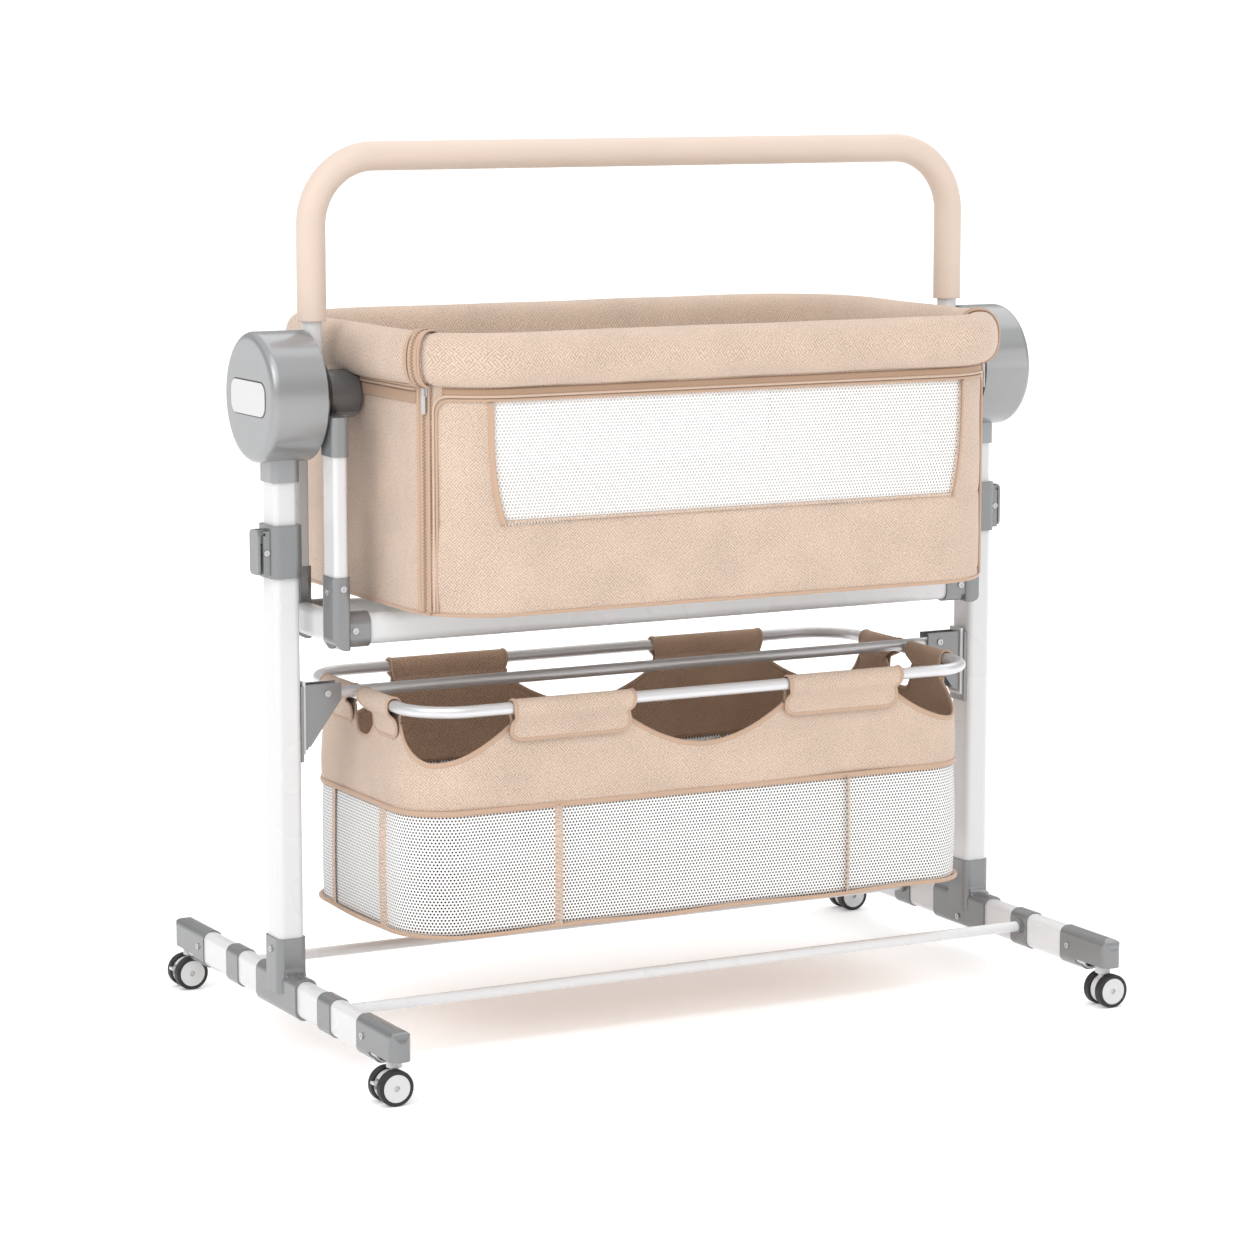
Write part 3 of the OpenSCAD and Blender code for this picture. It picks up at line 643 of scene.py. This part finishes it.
def rim_ring(s, grow, t0, t1, count=40):
    """Points round the roll's section at arc length s, from angle t0 to t1 in half turns."""
    middle_z = (RIM_Z0 + RIM_Z1) / 2
    points = []
    for t in frange(t0 * math.pi, t1 * math.pi, count):
        out, up = rim_section(t)
        size = math.hypot(out, up)
        out, up = out * (1 + grow / size), up * (1 + grow / size)
        p, n = RIM_LINE.at(s)
        points.append(Vector((p.x + n.x * out, p.y + n.y * out, middle_z + up)))
    return points


def from_ring_centre(s):
    """A direction away from the roll's centre line at arc length s."""
    p, _ = RIM_LINE.at(s)
    centre = Vector((p.x, p.y, (RIM_Z0 + RIM_Z1) / 2))
    return lambda q: (q - centre).normalized()


def teeth(name, path, face, material):
    """Two rows of zip teeth along a path."""
    verts, faces = [], []
    total = sum((b - a).length for a, b in zip(path, path[1:]))
    step = 1.9 * MM
    count = int(total / step)
    lengths = [0.0]
    for a, b in zip(path, path[1:]):
        lengths.append(lengths[-1] + (b - a).length)
    seg = 0
    for i in range(count):
        want = (i + 0.5) * step
        while seg < len(path) - 2 and lengths[seg + 1] < want:
            seg += 1
        a, b = path[seg], path[seg + 1]
        t = (want - lengths[seg]) / (lengths[seg + 1] - lengths[seg])
        centre = a.lerp(b, t)
        along = (b - a).normalized()
        up = face(centre)
        up = (up - along * up.dot(along)).normalized()
        across = along.cross(up)
        side = 1 if i % 2 else -1
        centre = centre + across * side * 1.0 * MM
        base = len(verts)
        for dx in (-1.0, 1.0):
            for dy in (-0.62, 0.62):
                for dz in (-0.3, 0.9):
                    verts.append(centre + across * dx * MM + along * dy * MM + up * dz * MM)
        for q in ((0, 1, 3, 2), (4, 6, 7, 5), (0, 4, 5, 1), (2, 3, 7, 6), (1, 5, 7, 3), (0, 2, 6, 4)):
            faces.append(tuple(base + c for c in q))
    return add_mesh(name, verts, faces, [(0, 0)] * len(verts), material, False)


def zip_side(side):
    """One corner zip: tape, teeth and edge bindings, up the wall and over the rim."""
    tag = "left" if side < 0 else "right"
    edge = -ZIP_S if side < 0 else ZIP_S
    away = -1 if side < 0 else 1
    low, high = BED_Z0 + 3 * MM, RIM_Z0 + 3 * MM
    made = []

    def column(s, out, count=40):
        return [BED.point(s, z, out) for z in frange(low, high, count)]

    tape_s = edge + away * (TAPE / 2 + 1.5 * MM)
    made.append(sweep("zip", column(tape_s, 1.2 * MM), BINDING, TAPE / 2, 0.7 * MM, up=outward(), square=5.0))
    made.append(sweep("zip", column(edge + away * (TAPE + 3 * MM), 1.8 * MM), BINDING, 2.2 * MM, 1.5 * MM,
                      up=outward(), square=2.6))
    made.append(sweep("zip", column(edge + away * 1.6 * MM, 1.8 * MM), BINDING, 1.4 * MM, 1.3 * MM,
                      up=outward()))
    made.append(teeth("zip", column(tape_s, 2.0 * MM), outward(), TEETH))
    rim_edge = -ZIP_RIM_S if side < 0 else ZIP_RIM_S
    rim_tape = rim_edge + away * (TAPE / 2 + 1.5 * MM)
    ring = rim_ring(rim_tape, 0.8 * MM, -0.44, 1.1)
    face = from_ring_centre(rim_tape)
    made.append(sweep("zip", ring, BINDING, TAPE / 2, 0.7 * MM, up=face, square=5.0))
    made.append(teeth("zip", rim_ring(rim_tape, 1.5 * MM, -0.44, 1.1, 80), face, TEETH))
    for shift, width in ((TAPE + 3 * MM, 2.4 * MM), (1.4 * MM, 1.5 * MM)):
        s = rim_edge + away * shift
        made.append(sweep("zip", rim_ring(s, 1.0 * MM, -0.46, 1.3), BINDING, width, 1.5 * MM,
                          up=from_ring_centre(s)))
    return merge("zip_" + tag, made)


def build_bed():
    """The bed's wall, drop side, windows, rim and zips, each on the body that carries it."""
    top = RIM_Z0 + 6 * MM
    clear = 0.5 * MM
    back = BED.length / 2
    rear = wall("bed_wall", ZIP_S + clear, BED.length - ZIP_S - clear, back, top)
    thicken(rear, 5.4 * MM, LINING)
    bind(rear, "cradle", "beige_fabric", "bassinet_shell", padded=0.5)
    front = wall("drop_side_wall", -ZIP_S + clear, ZIP_S - clear, 0.0, top)
    thicken(front, 5.4 * MM, LINING)
    bind(front, "drop_side", "beige_fabric", "front_panel", padded=0.5)
    for name, middle, body, node, wall_made in (
        ("rear_window_mesh", back, "cradle", "rear_window", rear),
        ("front_window_mesh", 0.0, "drop_side", "front_window", front),
    ):
        net, area = window(name, middle)
        width, height = 2 * WIN_HALF + 8 * MM, WIN_Z1 - WIN_Z0 + 8 * MM
        cut = cloth_cut(width, height, "stretched", [wall_made.name], area)
        bind(net, body, "mesh_fabric", node, sheet=cut)
    bind(window_bindings("rear_window_binding", back), "cradle", "beige_fabric")
    bind(window_bindings("front_window_binding", 0.0), "drop_side", "beige_fabric")
    gap = RIM_LINE.length
    bind(rim("rim_roll", ZIP_RIM_S + clear, gap - ZIP_RIM_S - clear, LINEN), "cradle", "beige_fabric",
         "bassinet_rim", padded=0.8)
    bind(rim("drop_side_roll", -ZIP_RIM_S + clear, ZIP_RIM_S - clear, LINEN), "drop_side", "beige_fabric",
         padded=0.8)
    for side in (-1, 1):
        bind(zip_side(side), "cradle", "beige_fabric")
    build_trim()
    build_floor()


def build_trim():
    """Piping, webbing and hems of the bed."""
    def trim(name, body, path, material, half_w, half_h, square=2.0):
        bind(sweep(name, path, material, half_w, half_h, up=outward(), square=square), body, "beige_fabric")

    def level(s0, s1, z, out, count=160):
        return [BED.point(s, z, out) for s in frange(s0, s1, count)]

    start = ZIP_S + TAPE + 5 * MM
    stop = BED.length - start
    path = level(start, stop, RIM_Z0 - 12 * MM, 0.8 * MM, 200)
    trim("webbing_band", "cradle", path, BINDING_DARK, 6 * MM, 1.0 * MM, 5.0)
    for n, z in enumerate((RIM_Z0 - 3 * MM, RIM_Z0 + 0.5 * MM)):
        trim("rim_piping_%d" % n, "cradle", level(start, stop, z, 1.6 * MM, 200), BINDING, 1.7 * MM, 1.7 * MM)
    hem_z = BED_Z0 + 1.8 * MM
    path = level(ZIP_S + 2 * MM, BED.length - ZIP_S - 2 * MM, hem_z, 0.2 * MM, 200)
    trim("bed_hem", "cradle", path, BINDING, 2.0 * MM, 1.6 * MM)
    path = level(-ZIP_S + 2 * MM, ZIP_S - 2 * MM, hem_z, 0.2 * MM)
    trim("drop_side_hem", "drop_side", path, BINDING, 2.0 * MM, 1.6 * MM)
    for n, (inset, material) in enumerate(((3.2 * MM, BINDING_LIGHT), (7.0 * MM, BINDING))):
        trim("drop_side_piping_%d" % n, "drop_side", arch_path(inset), material, 1.6 * MM, 1.5 * MM)
    path = level(-ZIP_S + 14 * MM, ZIP_S - 14 * MM, RIM_Z0 - 4.5 * MM, 0.4 * MM)
    trim("drop_side_band", "drop_side", path, BINDING_DARK, 3.6 * MM, 0.8 * MM, 4.0)


def arch_path(inset):
    """Up beside one zip, round a curve, along under the rim and down beside the other zip."""
    turn = 16 * MM
    top = RIM_Z0 - 6 * MM - inset
    half = ZIP_S - inset
    low = BED_Z0 + 4 * MM
    flat = []
    for z in frange(low, top - turn, 30):
        flat.append((-half, z))
    for a in frange(math.pi, math.pi / 2, 12)[1:]:
        flat.append((-half + turn + turn * math.cos(a), top - turn + turn * math.sin(a)))
    for s in frange(-half + turn, half - turn, 120)[1:]:
        flat.append((s, top))
    for a in frange(math.pi / 2, 0, 12)[1:]:
        flat.append((half - turn + turn * math.cos(a), top - turn + turn * math.sin(a)))
    for z in frange(top - turn, low, 30)[1:]:
        flat.append((half, z))
    return [BED.point(s, z, 0.9 * MM) for s, z in flat]


def build_floor():
    """The bed's floor and its mattress."""
    plan = Plan(BED_X - 4 * MM, BED_Y - 8.5 * MM, BED_R - 6 * MM)
    ring = [plan.point(s, BED_Z0 + 1 * MM) for s in frange(0, plan.length, 161)[:-1]]
    verts = ring + [p + Vector((0, 0, 5 * MM)) for p in ring]
    n = len(ring)
    faces = [tuple(range(n))[::-1], tuple(range(n, 2 * n))]
    faces += [(i, (i + 1) % n, n + (i + 1) % n, n + i) for i in range(n)]
    floor = add_mesh("bed_floor", verts, faces, [(v.x, v.y) for v in verts], LINING, False)
    bind(floor, "cradle", "beige_fabric", padded=1.0)
    lo, hi = PAD_LO, PAD_HI
    pad = crowned_pad("mattress_pad", hi.x, hi.y, lo.z, hi.z, 78 * MM)
    bind(pad, "cradle", "mattress_cover", "mattress", padded=0.6)


def crowned_pad(name, half_x, half_y, z0, z1, radius):
    """A crowned pad: rings from the middle of the underside, round the edge, to the middle of the top."""
    verts, uvs = [], []
    middle = (z0 + z1) / 2
    half = (z1 - z0) / 2
    profile = [(0.02 + 0.9 * t, z0 + 0.3 * MM) for t in frange(0, 1, 10)]
    for a in frange(-1.3, 1.3, 12):
        profile.append((1 - 0.075 * (1 - math.cos(a)), middle + half * 0.93 * math.sin(a)))
    profile += [(0.92 - 0.9 * t, z1 - 2 * MM * (1 - smooth(t * 4)) - 0.4 * MM) for t in frange(0.02, 1, 16)]
    count = 160
    for size, z in profile:
        plan = Plan(half_x * size, half_y * size, radius * size)
        for s in frange(0, 1, count + 1)[:-1]:
            p = plan.point(s * plan.length, z)
            verts.append(p)
            uvs.append((p.x, p.y))
    faces = []
    for j in range(len(profile) - 1):
        for i in range(count):
            k = (i + 1) % count
            faces.append((j * count + i, j * count + k, (j + 1) * count + k, (j + 1) * count + i))
    faces.append(tuple(range(count))[::-1])
    last = (len(profile) - 1) * count
    faces.append(tuple(last + i for i in range(count)))
    return add_mesh(name, verts, faces, uvs, COTTON)


# ---- the basket ----

TAB_HALF = 71.5 * MM
TAB_X = 169.5 * MM
END_TAB_IN = 14 * MM
END_TAB_OUT = 88 * MM
FINGER_HOLE = 31 * MM
SCOOP_Z = 318 * MM


def bag_plan(z):
    """The basket's plan at height z: it is widest at its seam and leans in to the loop."""
    t = smooth((z - BAND_Z) / (LOOP_Z - BAND_Z))
    return Plan(351 * MM - 9.5 * MM * t, 147 * MM + 4 * MM * t, 60 * MM - 6 * MM * t)


BAG = bag_plan(BAND_Z)


def tab_spans():
    """The arc-length stretches of the bag's top edge that are tabs."""
    quarter = BAG.length / 4
    spans = []
    for middle in (0.0, BAG.length / 2):
        for x in (-TAB_X, TAB_X):
            spans.append((middle + x - TAB_HALF, middle + x + TAB_HALF))
    for middle in (quarter, 3 * quarter):
        spans.append((middle - END_TAB_OUT, middle - FINGER_HOLE))
        spans.append((middle + FINGER_HOLE, middle + END_TAB_OUT))
    wrapped = [(a % BAG.length, a % BAG.length + (b - a)) for a, b in spans]
    return sorted(wrapped)


SPANS = tab_spans()


def edge_height(s):
    """Height of the fabric's top edge at arc length s: full height in a tab, scooped between two."""
    s = s % BAG.length
    full = LOOP_Z - 12 * MM
    gaps = zip(SPANS, SPANS[1:] + [(SPANS[0][0] + BAG.length, SPANS[0][1])])
    for (_, start), (stop, _) in gaps:
        place = s if s >= start else s + BAG.length
        if not start < place < stop:
            continue
        t = (place - start) / (stop - start)
        middle, low, power, top = scoop_shape(start, stop)
        t = (t - middle) / middle if t < middle else (t - middle) / (1 - middle)
        return low + (top - low) * abs(t) ** power
    return full


def scoop_shape(start, stop):
    """Where a scoop is lowest, how low, how sharp its curve is and how high its ends are."""
    length = stop - start
    if length < 90 * MM:
        return 0.5, 331 * MM, 3.2, 362 * MM
    if length > 170 * MM:
        return 0.5, SCOOP_Z, 1.9, 354 * MM
    quarter = round((start + stop) / 2 / BAG.length * 4 - 0.5)
    towards_end = 0.62 if quarter % 2 == 0 else 0.38
    return towards_end, SCOOP_Z, 1.8, 356 * MM


def bag_point(s, z, out=0.0):
    """A place on the basket's side, where s is arc length at the seam."""
    plan = bag_plan(z)
    return plan.point(s * plan.length / BAG.length, z, out)


def bag_out(s, z):
    """How far the basket's fabric sags out of its plan."""
    sag = 2.5 * MM * math.sin(math.pi * min(1.0, max(0.0, (z - BAND_Z) / (90 * MM))))
    return sag * 0.5 + wrinkle(bag_point(s, z), 2.2 * MM, 10.0)


def stations():
    """Arc lengths round the bag, with one on each side of every tab's edge."""
    marks = frange(0, BAG.length, 321)[:-1]
    for a, b in SPANS:
        for e in (a, b):
            marks += [(e - 0.05 * MM) % BAG.length, (e + 0.05 * MM) % BAG.length]
    half = BAG.length / 2
    marks = sorted(m if m >= half else m + BAG.length for m in marks)
    return marks + [marks[0] + BAG.length]


def build_band():
    """The fabric of the basket with its scooped top edge, its bindings and the piping at its seam."""
    marks = stations()
    rows = 22
    verts, uvs = [], []
    for j in range(rows):
        for s in marks:
            z = BAND_Z + (edge_height(s) - BAND_Z) * j / (rows - 1)
            verts.append(bag_point(s, z, bag_out(s, z)))
            uvs.append((s, z))
    n = len(marks)
    faces = [(j * n + i, j * n + i + 1, (j + 1) * n + i + 1, (j + 1) * n + i) for j in range(rows - 1)
             for i in range(n - 1)]
    band = weld(add_mesh("basket_fabric", verts, faces, uvs, LINEN))
    area = surface_area(band)
    thicken(band, 1.6 * MM, LINEN_DARK)
    height = LOOP_Z - 12 * MM - BAND_Z + 8 * MM
    bind(band, "stand", "beige_fabric", "basket_band",
         sheet=cloth_cut(height, BAG.length + 20 * MM, "hung", ["basket_frame"], area))
    edge = [bag_point(s, edge_height(s), bag_out(s, edge_height(s)) - 0.8 * MM) for s in marks]
    cuts = []
    for i in range(n - 1):
        at_a_tab = marks[i + 1] - marks[i] < 0.5 * MM
        if at_a_tab and abs(edge[i + 1].z - edge[i].z) > 3 * MM:
            cuts.append(i)
    start = 0
    for n_run, cut in enumerate(cuts + [n - 1]):
        run = edge[start:cut + 1]
        start = cut + 1
        if len(run) > 2 and max(p.z for p in run) < LOOP_Z - 12.5 * MM:
            piece = sweep("scoop_binding_%d" % n_run, run, BINDING, 1.7 * MM, 3.2 * MM)
            bind(piece, "stand", "beige_fabric")
    seam = [bag_point(s, BAND_Z, 1.2 * MM) for s in frange(0, BAG.length, 241)[:-1]]
    piping = sweep("basket_piping", seam, BINDING, 3.2 * MM, 1.8 * MM, closed=True, up=outward(), square=2.6)
    bind(piping, "stand", "beige_fabric")


# How a tab lies round the tube, in millimetres out from the tube's centre and up from it.
TAB_LINE = (
    (-8.4, -14.0), (-8.8, -9.0), (-8.9, -4.0), (-8.6, 1.5), (-7.0, 5.6), (-3.8, 8.2), (0.0, 9.0),
    (3.8, 8.2), (7.0, 5.6), (8.7, 1.5), (8.7, -3.0), (7.2, -7.5), (4.0, -10.8), (0.6, -13.2),
    (-1.8, -16.5), (-3.0, -21.0), (-3.4, -26.0), (-3.8, -31.0), (-4.4, -35.5),
)
TAB_TOP_ROW = 6


def tab(name, middle, left, right, left_in=0.0, right_in=0.0):
    """One wrap-over tab: up inside the tube, over it and down to its stitched flap.

    left and right are its edges on the tube, and left_in and right_in how much it narrows below the tube."""
    line = [(a * MM, b * MM) for a, b in TAB_LINE]
    run = [0.0]
    for p, q in zip(line, line[1:]):
        run.append(run[-1] + math.hypot(q[0] - p[0], q[1] - p[1]))
    columns = 25
    loop = Plan(LOOP_X, LOOP_Y, LOOP_R)
    verts, uvs = [], []
    corner = 9 * MM
    for j, (out, up) in enumerate(line):
        into_corner = max(0.0, corner - (run[-1] - run[j]))
        inset = corner - math.sqrt(corner ** 2 - into_corner ** 2)
        below = smooth(-up / (14 * MM))
        waist = 3.5 * MM * math.exp(-(((up + 13 * MM) / (5 * MM)) ** 2))
        start = left + inset + below * left_in + waist
        stop = right - inset - below * right_in - waist
        for t in frange(0, 1, columns):
            s = middle + start + (stop - start) * t
            ripple = wrinkle(Vector((s, run[j], 0)), 0.6 * MM, 30.0)
            verts.append(loop.point(s, LOOP_Z + up, out + ripple))
            uvs.append((s, run[j]))
    rows = len(line)
    faces = [(j * columns + i, (j + 1) * columns + i, (j + 1) * columns + i + 1, j * columns + i + 1)
             for j in range(rows - 1) for i in range(columns - 1)]
    cloth = add_mesh(name, verts, faces, uvs, LINEN)
    cloth.data.materials.append(LINEN_DARK)
    for face in cloth.data.polygons:
        if face.index < TAB_TOP_ROW * (columns - 1):
            face.material_index = 1
    area = surface_area(cloth)
    cloth.modifiers.new("round", "SUBSURF").render_levels = 1
    mod = cloth.modifiers.new("thickness", "SOLIDIFY")
    mod.thickness = 1.4 * MM
    mod.offset = 0
    border = [verts[j * columns] for j in range(rows)]
    border += [verts[(rows - 1) * columns + i] for i in range(1, columns - 1)]
    border += [verts[j * columns + columns - 1] for j in range(rows - 1, -1, -1)]
    trim = sweep(name + "_binding", rounded(border), BINDING, 2.5 * MM, 1.5 * MM, up=tab_face(loop, middle))
    bind(trim, "stand", "beige_fabric")
    bind(apply_all(cloth), "stand", "beige_fabric",
         sheet=dict(cloth_cut(right - left, run[-1], "folded", ["basket_frame"], area), with_pieces=[trim]))


def rounded(points, passes=2):
    """Smooths an open path by corner cutting."""
    for _ in range(passes):
        cut = [points[0]]
        for p, q in zip(points, points[1:]):
            cut += [p.lerp(q, 0.25), p.lerp(q, 0.75)]
        points = cut + [points[-1]]
    return points


def tab_face(loop, s):
    """Away from the tube's centre line."""
    _, normal = loop.at(s)
    flat = Vector((normal.x, normal.y, 0))

    def way(p):
        centre = LOOP_Y if abs(flat.y) > 0.5 else LOOP_X
        on_flap = 6 * MM if p.z < LOOP_Z - 12 * MM else 0
        ahead = p.x * flat.x + p.y * flat.y - centre + on_flap
        up = max(0.0, p.z - LOOP_Z + 2 * MM)
        return (flat * ahead + Vector((0, 0, up))).normalized()
    return way


def apply_all(obj):
    """Turns an object's modifiers into mesh."""
    bpy.ops.object.select_all(action="DESELECT")
    obj.select_set(True)
    bpy.context.view_layer.objects.active = obj
    for mod in list(obj.modifiers):
        bpy.ops.object.modifier_apply(modifier=mod.name)
    return obj


def build_net():
    """Mesh walls with ribbons, the hem round the bottom and the floor."""
    z0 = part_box("basket_mesh")[0].z + 3 * MM
    marks = frange(BAG.length / 2, BAG.length * 1.5, 241)

    def at(s, z):
        t = (z - z0) / (BAND_Z - z0)
        belly = 1.5 * MM * math.sin(math.pi * t)
        return bag_point(s, z, belly + wrinkle(bag_point(s, z), 1.2 * MM, 8.0))

    verts, faces, uvs = patch(marks, frange(z0, BAND_Z, 20), at)
    net = weld(add_mesh("basket_net", verts, faces, uvs, NET))
    area = surface_area(net)
    thicken(net, 0.7 * MM)
    bind(net, "stand", "mesh_fabric", "basket_mesh",
         sheet=cloth_cut(BAND_Z - z0 + 6 * MM, BAG.length + 20 * MM, "hung", ["basket_fabric"], area))
    quarter = BAG.length / 4
    spots = [-184 * MM, 184 * MM, 2 * quarter - 184 * MM, 2 * quarter + 184 * MM]
    spots += [quarter - 66 * MM, quarter + 66 * MM, 3 * quarter - 66 * MM, 3 * quarter + 66 * MM]
    for i, s in enumerate(spots):
        out = 0.9 * MM
        path = [at(s, z) + (bag_point(s, z, 1) - bag_point(s, z)) * out for z in frange(z0, BAND_Z, 16)]
        ribbon = sweep("basket_ribbon_%d" % i, path, LINEN, 7.0 * MM, 0.8 * MM, up=outward(), square=5.0)
        bind(ribbon, "stand", "beige_fabric")
    hem = [bag_point(s, z0, 3.2 * MM) + Vector((0, 0, 1.2 * MM * math.sin(s * 30))) for s in marks[:-1]]
    hem_tape = sweep("basket_hem", hem, BINDING, 2.2 * MM, 3.0 * MM, closed=True, up=outward(), square=2.4)
    bind(hem_tape, "stand", "beige_fabric")
    floor_plan = [bag_point(s, z0, -0.5 * MM) for s in marks[:-1]]
    n = len(floor_plan)
    verts = floor_plan + [p + Vector((0, 0, 2 * MM)) for p in floor_plan]
    faces = [tuple(range(n))[::-1], tuple(range(n, 2 * n))]
    faces += [(i, (i + 1) % n, n + (i + 1) % n, n + i) for i in range(n)]
    floor = add_mesh("basket_floor", verts, faces, [(v.x, v.y) for v in verts], LINEN_DARK, False)
    plan = bag_plan(z0)
    width, length = 2 * (plan.b + plan.r), 2 * (plan.a + plan.r)
    cut = cloth_cut(width, length, "stretched", ["basket_net"], surface_area(floor) / 2)
    bind(floor, "stand", "beige_fabric", sheet=cut)


def build_basket():
    """The basket, and its tabs: two on each long side of the loop and two at each end."""
    build_band()
    build_net()
    loop = Plan(LOOP_X, LOOP_Y, LOOP_R)
    narrow = FINGER_HOLE - END_TAB_IN - 1 * MM
    count = 0
    for quarter in range(4):
        middle = quarter * loop.length / 4
        for side in (-1, 1):
            if quarter % 2:
                near, far = side * END_TAB_IN, side * END_TAB_OUT
                left_in, right_in = (narrow, 0.0) if side > 0 else (0.0, narrow)
                edges = (min(near, far), max(near, far), left_in, right_in)
            else:
                edges = (side * TAB_X - TAB_HALF, side * TAB_X + TAB_HALF)
            tab("basket_tab_%d" % count, middle, *edges)
            count += 1


# ---- CAD nodes that keep their own shape ----

FINISH = {
    "foot_tubes": PAINT,
    "stretchers": PAINT,
    "bracket_strips": PAINT,
    "hanger_tubes": PAINT,
    "cradle_beams": PAINT,
    "cross_tubes": PAINT,
    "handle_tube": PAINT,
    "tees": GREY,
    "foot_caps": GREY,
    "stretcher_collars": GREY,
    "cradle_corners": GREY,
    "basket_frame": STEEL,
    "stand_screws": SCREW,
    "cradle_screws": SCREW,
    "handle_ends": BLACK,
    "handle_foam": FOAM,
}
ENDINGS = (
    ("_post", PAINT), ("_clamp", GREY), ("_bracket", GREY), ("_lever", GREY), ("_drum", DRUM),
    ("_bearing_plate", BLACK), ("_hub", HUB), ("_button", WHITE), ("_slider", SCREW), ("_caster", WHITE),
    ("_brake", WHITE), ("_tyres", RUBBER), ("_wheels", WHITE),
)


def finish_cad():
    """Gives the nodes that keep their own shape their finish, by name or by the end of the name."""
    for name, obj in nodes.items():
        material = FINISH.get(name)
        for ending, choice in ENDINGS:
            if not material and name.endswith(ending):
                material = choice
        if not material:
            continue
        obj.data.materials.clear()
        obj.data.materials.append(material)


def build_button_gap_shadows():
    """A black strip round each push button: painted shade for the narrow gap round it."""
    for side, body in (("left", "left_mast"), ("right", "right_mast")):
        lo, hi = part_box(side + "_button")
        middle_y, middle_z = (lo.y + hi.y) / 2, (lo.z + hi.z) / 2
        drum_lo, drum_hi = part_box(side + "_drum")
        x = drum_lo.x if side == "left" else drum_hi.x
        line = Plan((hi.y - lo.y) / 2 + 0.3 * MM, (hi.z - lo.z) / 2 + 0.3 * MM, 12 * MM)
        flat = [line.at(s)[0] for s in frange(0, line.length, 97)[:-1]]
        path = [Vector((x, middle_y + p.x, middle_z + p.y)) for p in flat]
        out = Vector((math.copysign(1, x), 0, 0))
        # painted shade: the black strip stands in for the shadow in the gap round the button
        gap_shadow = sweep(side + "_button_gap_shadow", path, BLACK, 1.0 * MM, 0.25 * MM, True, lambda p: out, 8)
        bind(gap_shadow, body, "black_plastic")


# ---- stage, light and camera ----


def build_stage():
    """A pale floor that runs to the horizon, and soft light from all round."""
    size = 400.0
    floor = add_mesh("floor", [(-size, -size, 0), (size, -size, 0), (size, size, 0), (-size, size, 0)],
                     [(0, 1, 2, 3)], None, None, False)
    m = Shader("floor_white", (0.93, 0.93, 0.93, 1.0), 0.9)
    m.main.inputs["Emission Color"].default_value = (1, 1, 1, 1)
    m.main.inputs["Emission Strength"].default_value = 0.22
    floor.data.materials.append(m.material)
    scene.view_settings.view_transform = "Standard"
    build_world()
    sun("key_sun", (-1.2, -2.2, 3.0), 0.95, 55)
    sun("back_sun", (1.6, 1.2, 3.2), 0.7, 60)
    area("key", (-2.6, -1.2, 2.2), (0, 0, 0.6), 1.4, 22)
    area("side", (2.6, -2.4, 1.4), (0, 0, 0.5), 1.6, 10)


def build_world():
    """A white studio: bright at the horizon and overhead, softer between."""
    world = bpy.data.worlds.new("studio")
    scene.world = world
    world.use_nodes = True
    tree = world.node_tree
    place = tree.nodes.new("ShaderNodeTexCoord")
    parts = tree.nodes.new("ShaderNodeSeparateXYZ")
    ramp = tree.nodes.new("ShaderNodeValToRGB")
    tree.links.new(place.outputs["Generated"], parts.inputs[0])
    tree.links.new(parts.outputs[2], ramp.inputs[0])
    tree.links.new(ramp.outputs[0], tree.nodes["Background"].inputs[0])
    ramp.color_ramp.elements[0].position = 0.05
    ramp.color_ramp.elements[0].color = (1, 1, 1, 1)
    ramp.color_ramp.elements[1].position = 1.0
    ramp.color_ramp.elements[1].color = (0.95, 0.95, 0.95, 1)
    for height, level in ((0.2, 0.4), (0.45, 0.5), (0.62, 1.0)):
        ramp.color_ramp.elements.new(height).color = (level, level, level, 1)


def sun(name, place, strength, angle):
    light = bpy.data.lights.new(name, "SUN")
    light.energy = strength
    light.angle = math.radians(angle)
    made = bpy.data.objects.new(name, light)
    made.rotation_euler = (-Vector(place)).to_track_quat("-Z", "Y").to_euler()
    scene.collection.objects.link(made)


def area(name, place, target, size, power):
    light = bpy.data.lights.new(name, "AREA")
    light.energy = power
    light.size = size
    made = bpy.data.objects.new(name, light)
    made.location = place
    made.rotation_euler = (Vector(target) - Vector(place)).to_track_quat("-Z", "Y").to_euler()
    scene.collection.objects.link(made)


def build_camera():
    data = bpy.data.cameras.new("camera")
    data.sensor_width = 36
    data.lens = 112.55
    camera = bpy.data.objects.new("camera", data)
    azimuth, elevation = math.radians(-27.844), math.radians(8.577)
    back = Vector((math.sin(azimuth) * math.cos(elevation), -math.cos(azimuth) * math.cos(elevation),
                   math.sin(elevation)))
    camera.location = (-2.0595, -3.86183, 1.08725)
    camera.rotation_euler = (-back).to_track_quat("-Z", "Y").to_euler()
    scene.collection.objects.link(camera)
    scene.camera = camera


finish_cad()
build_button_gap_shadows()
build_bed()
build_basket()
build_stage()
build_camera()
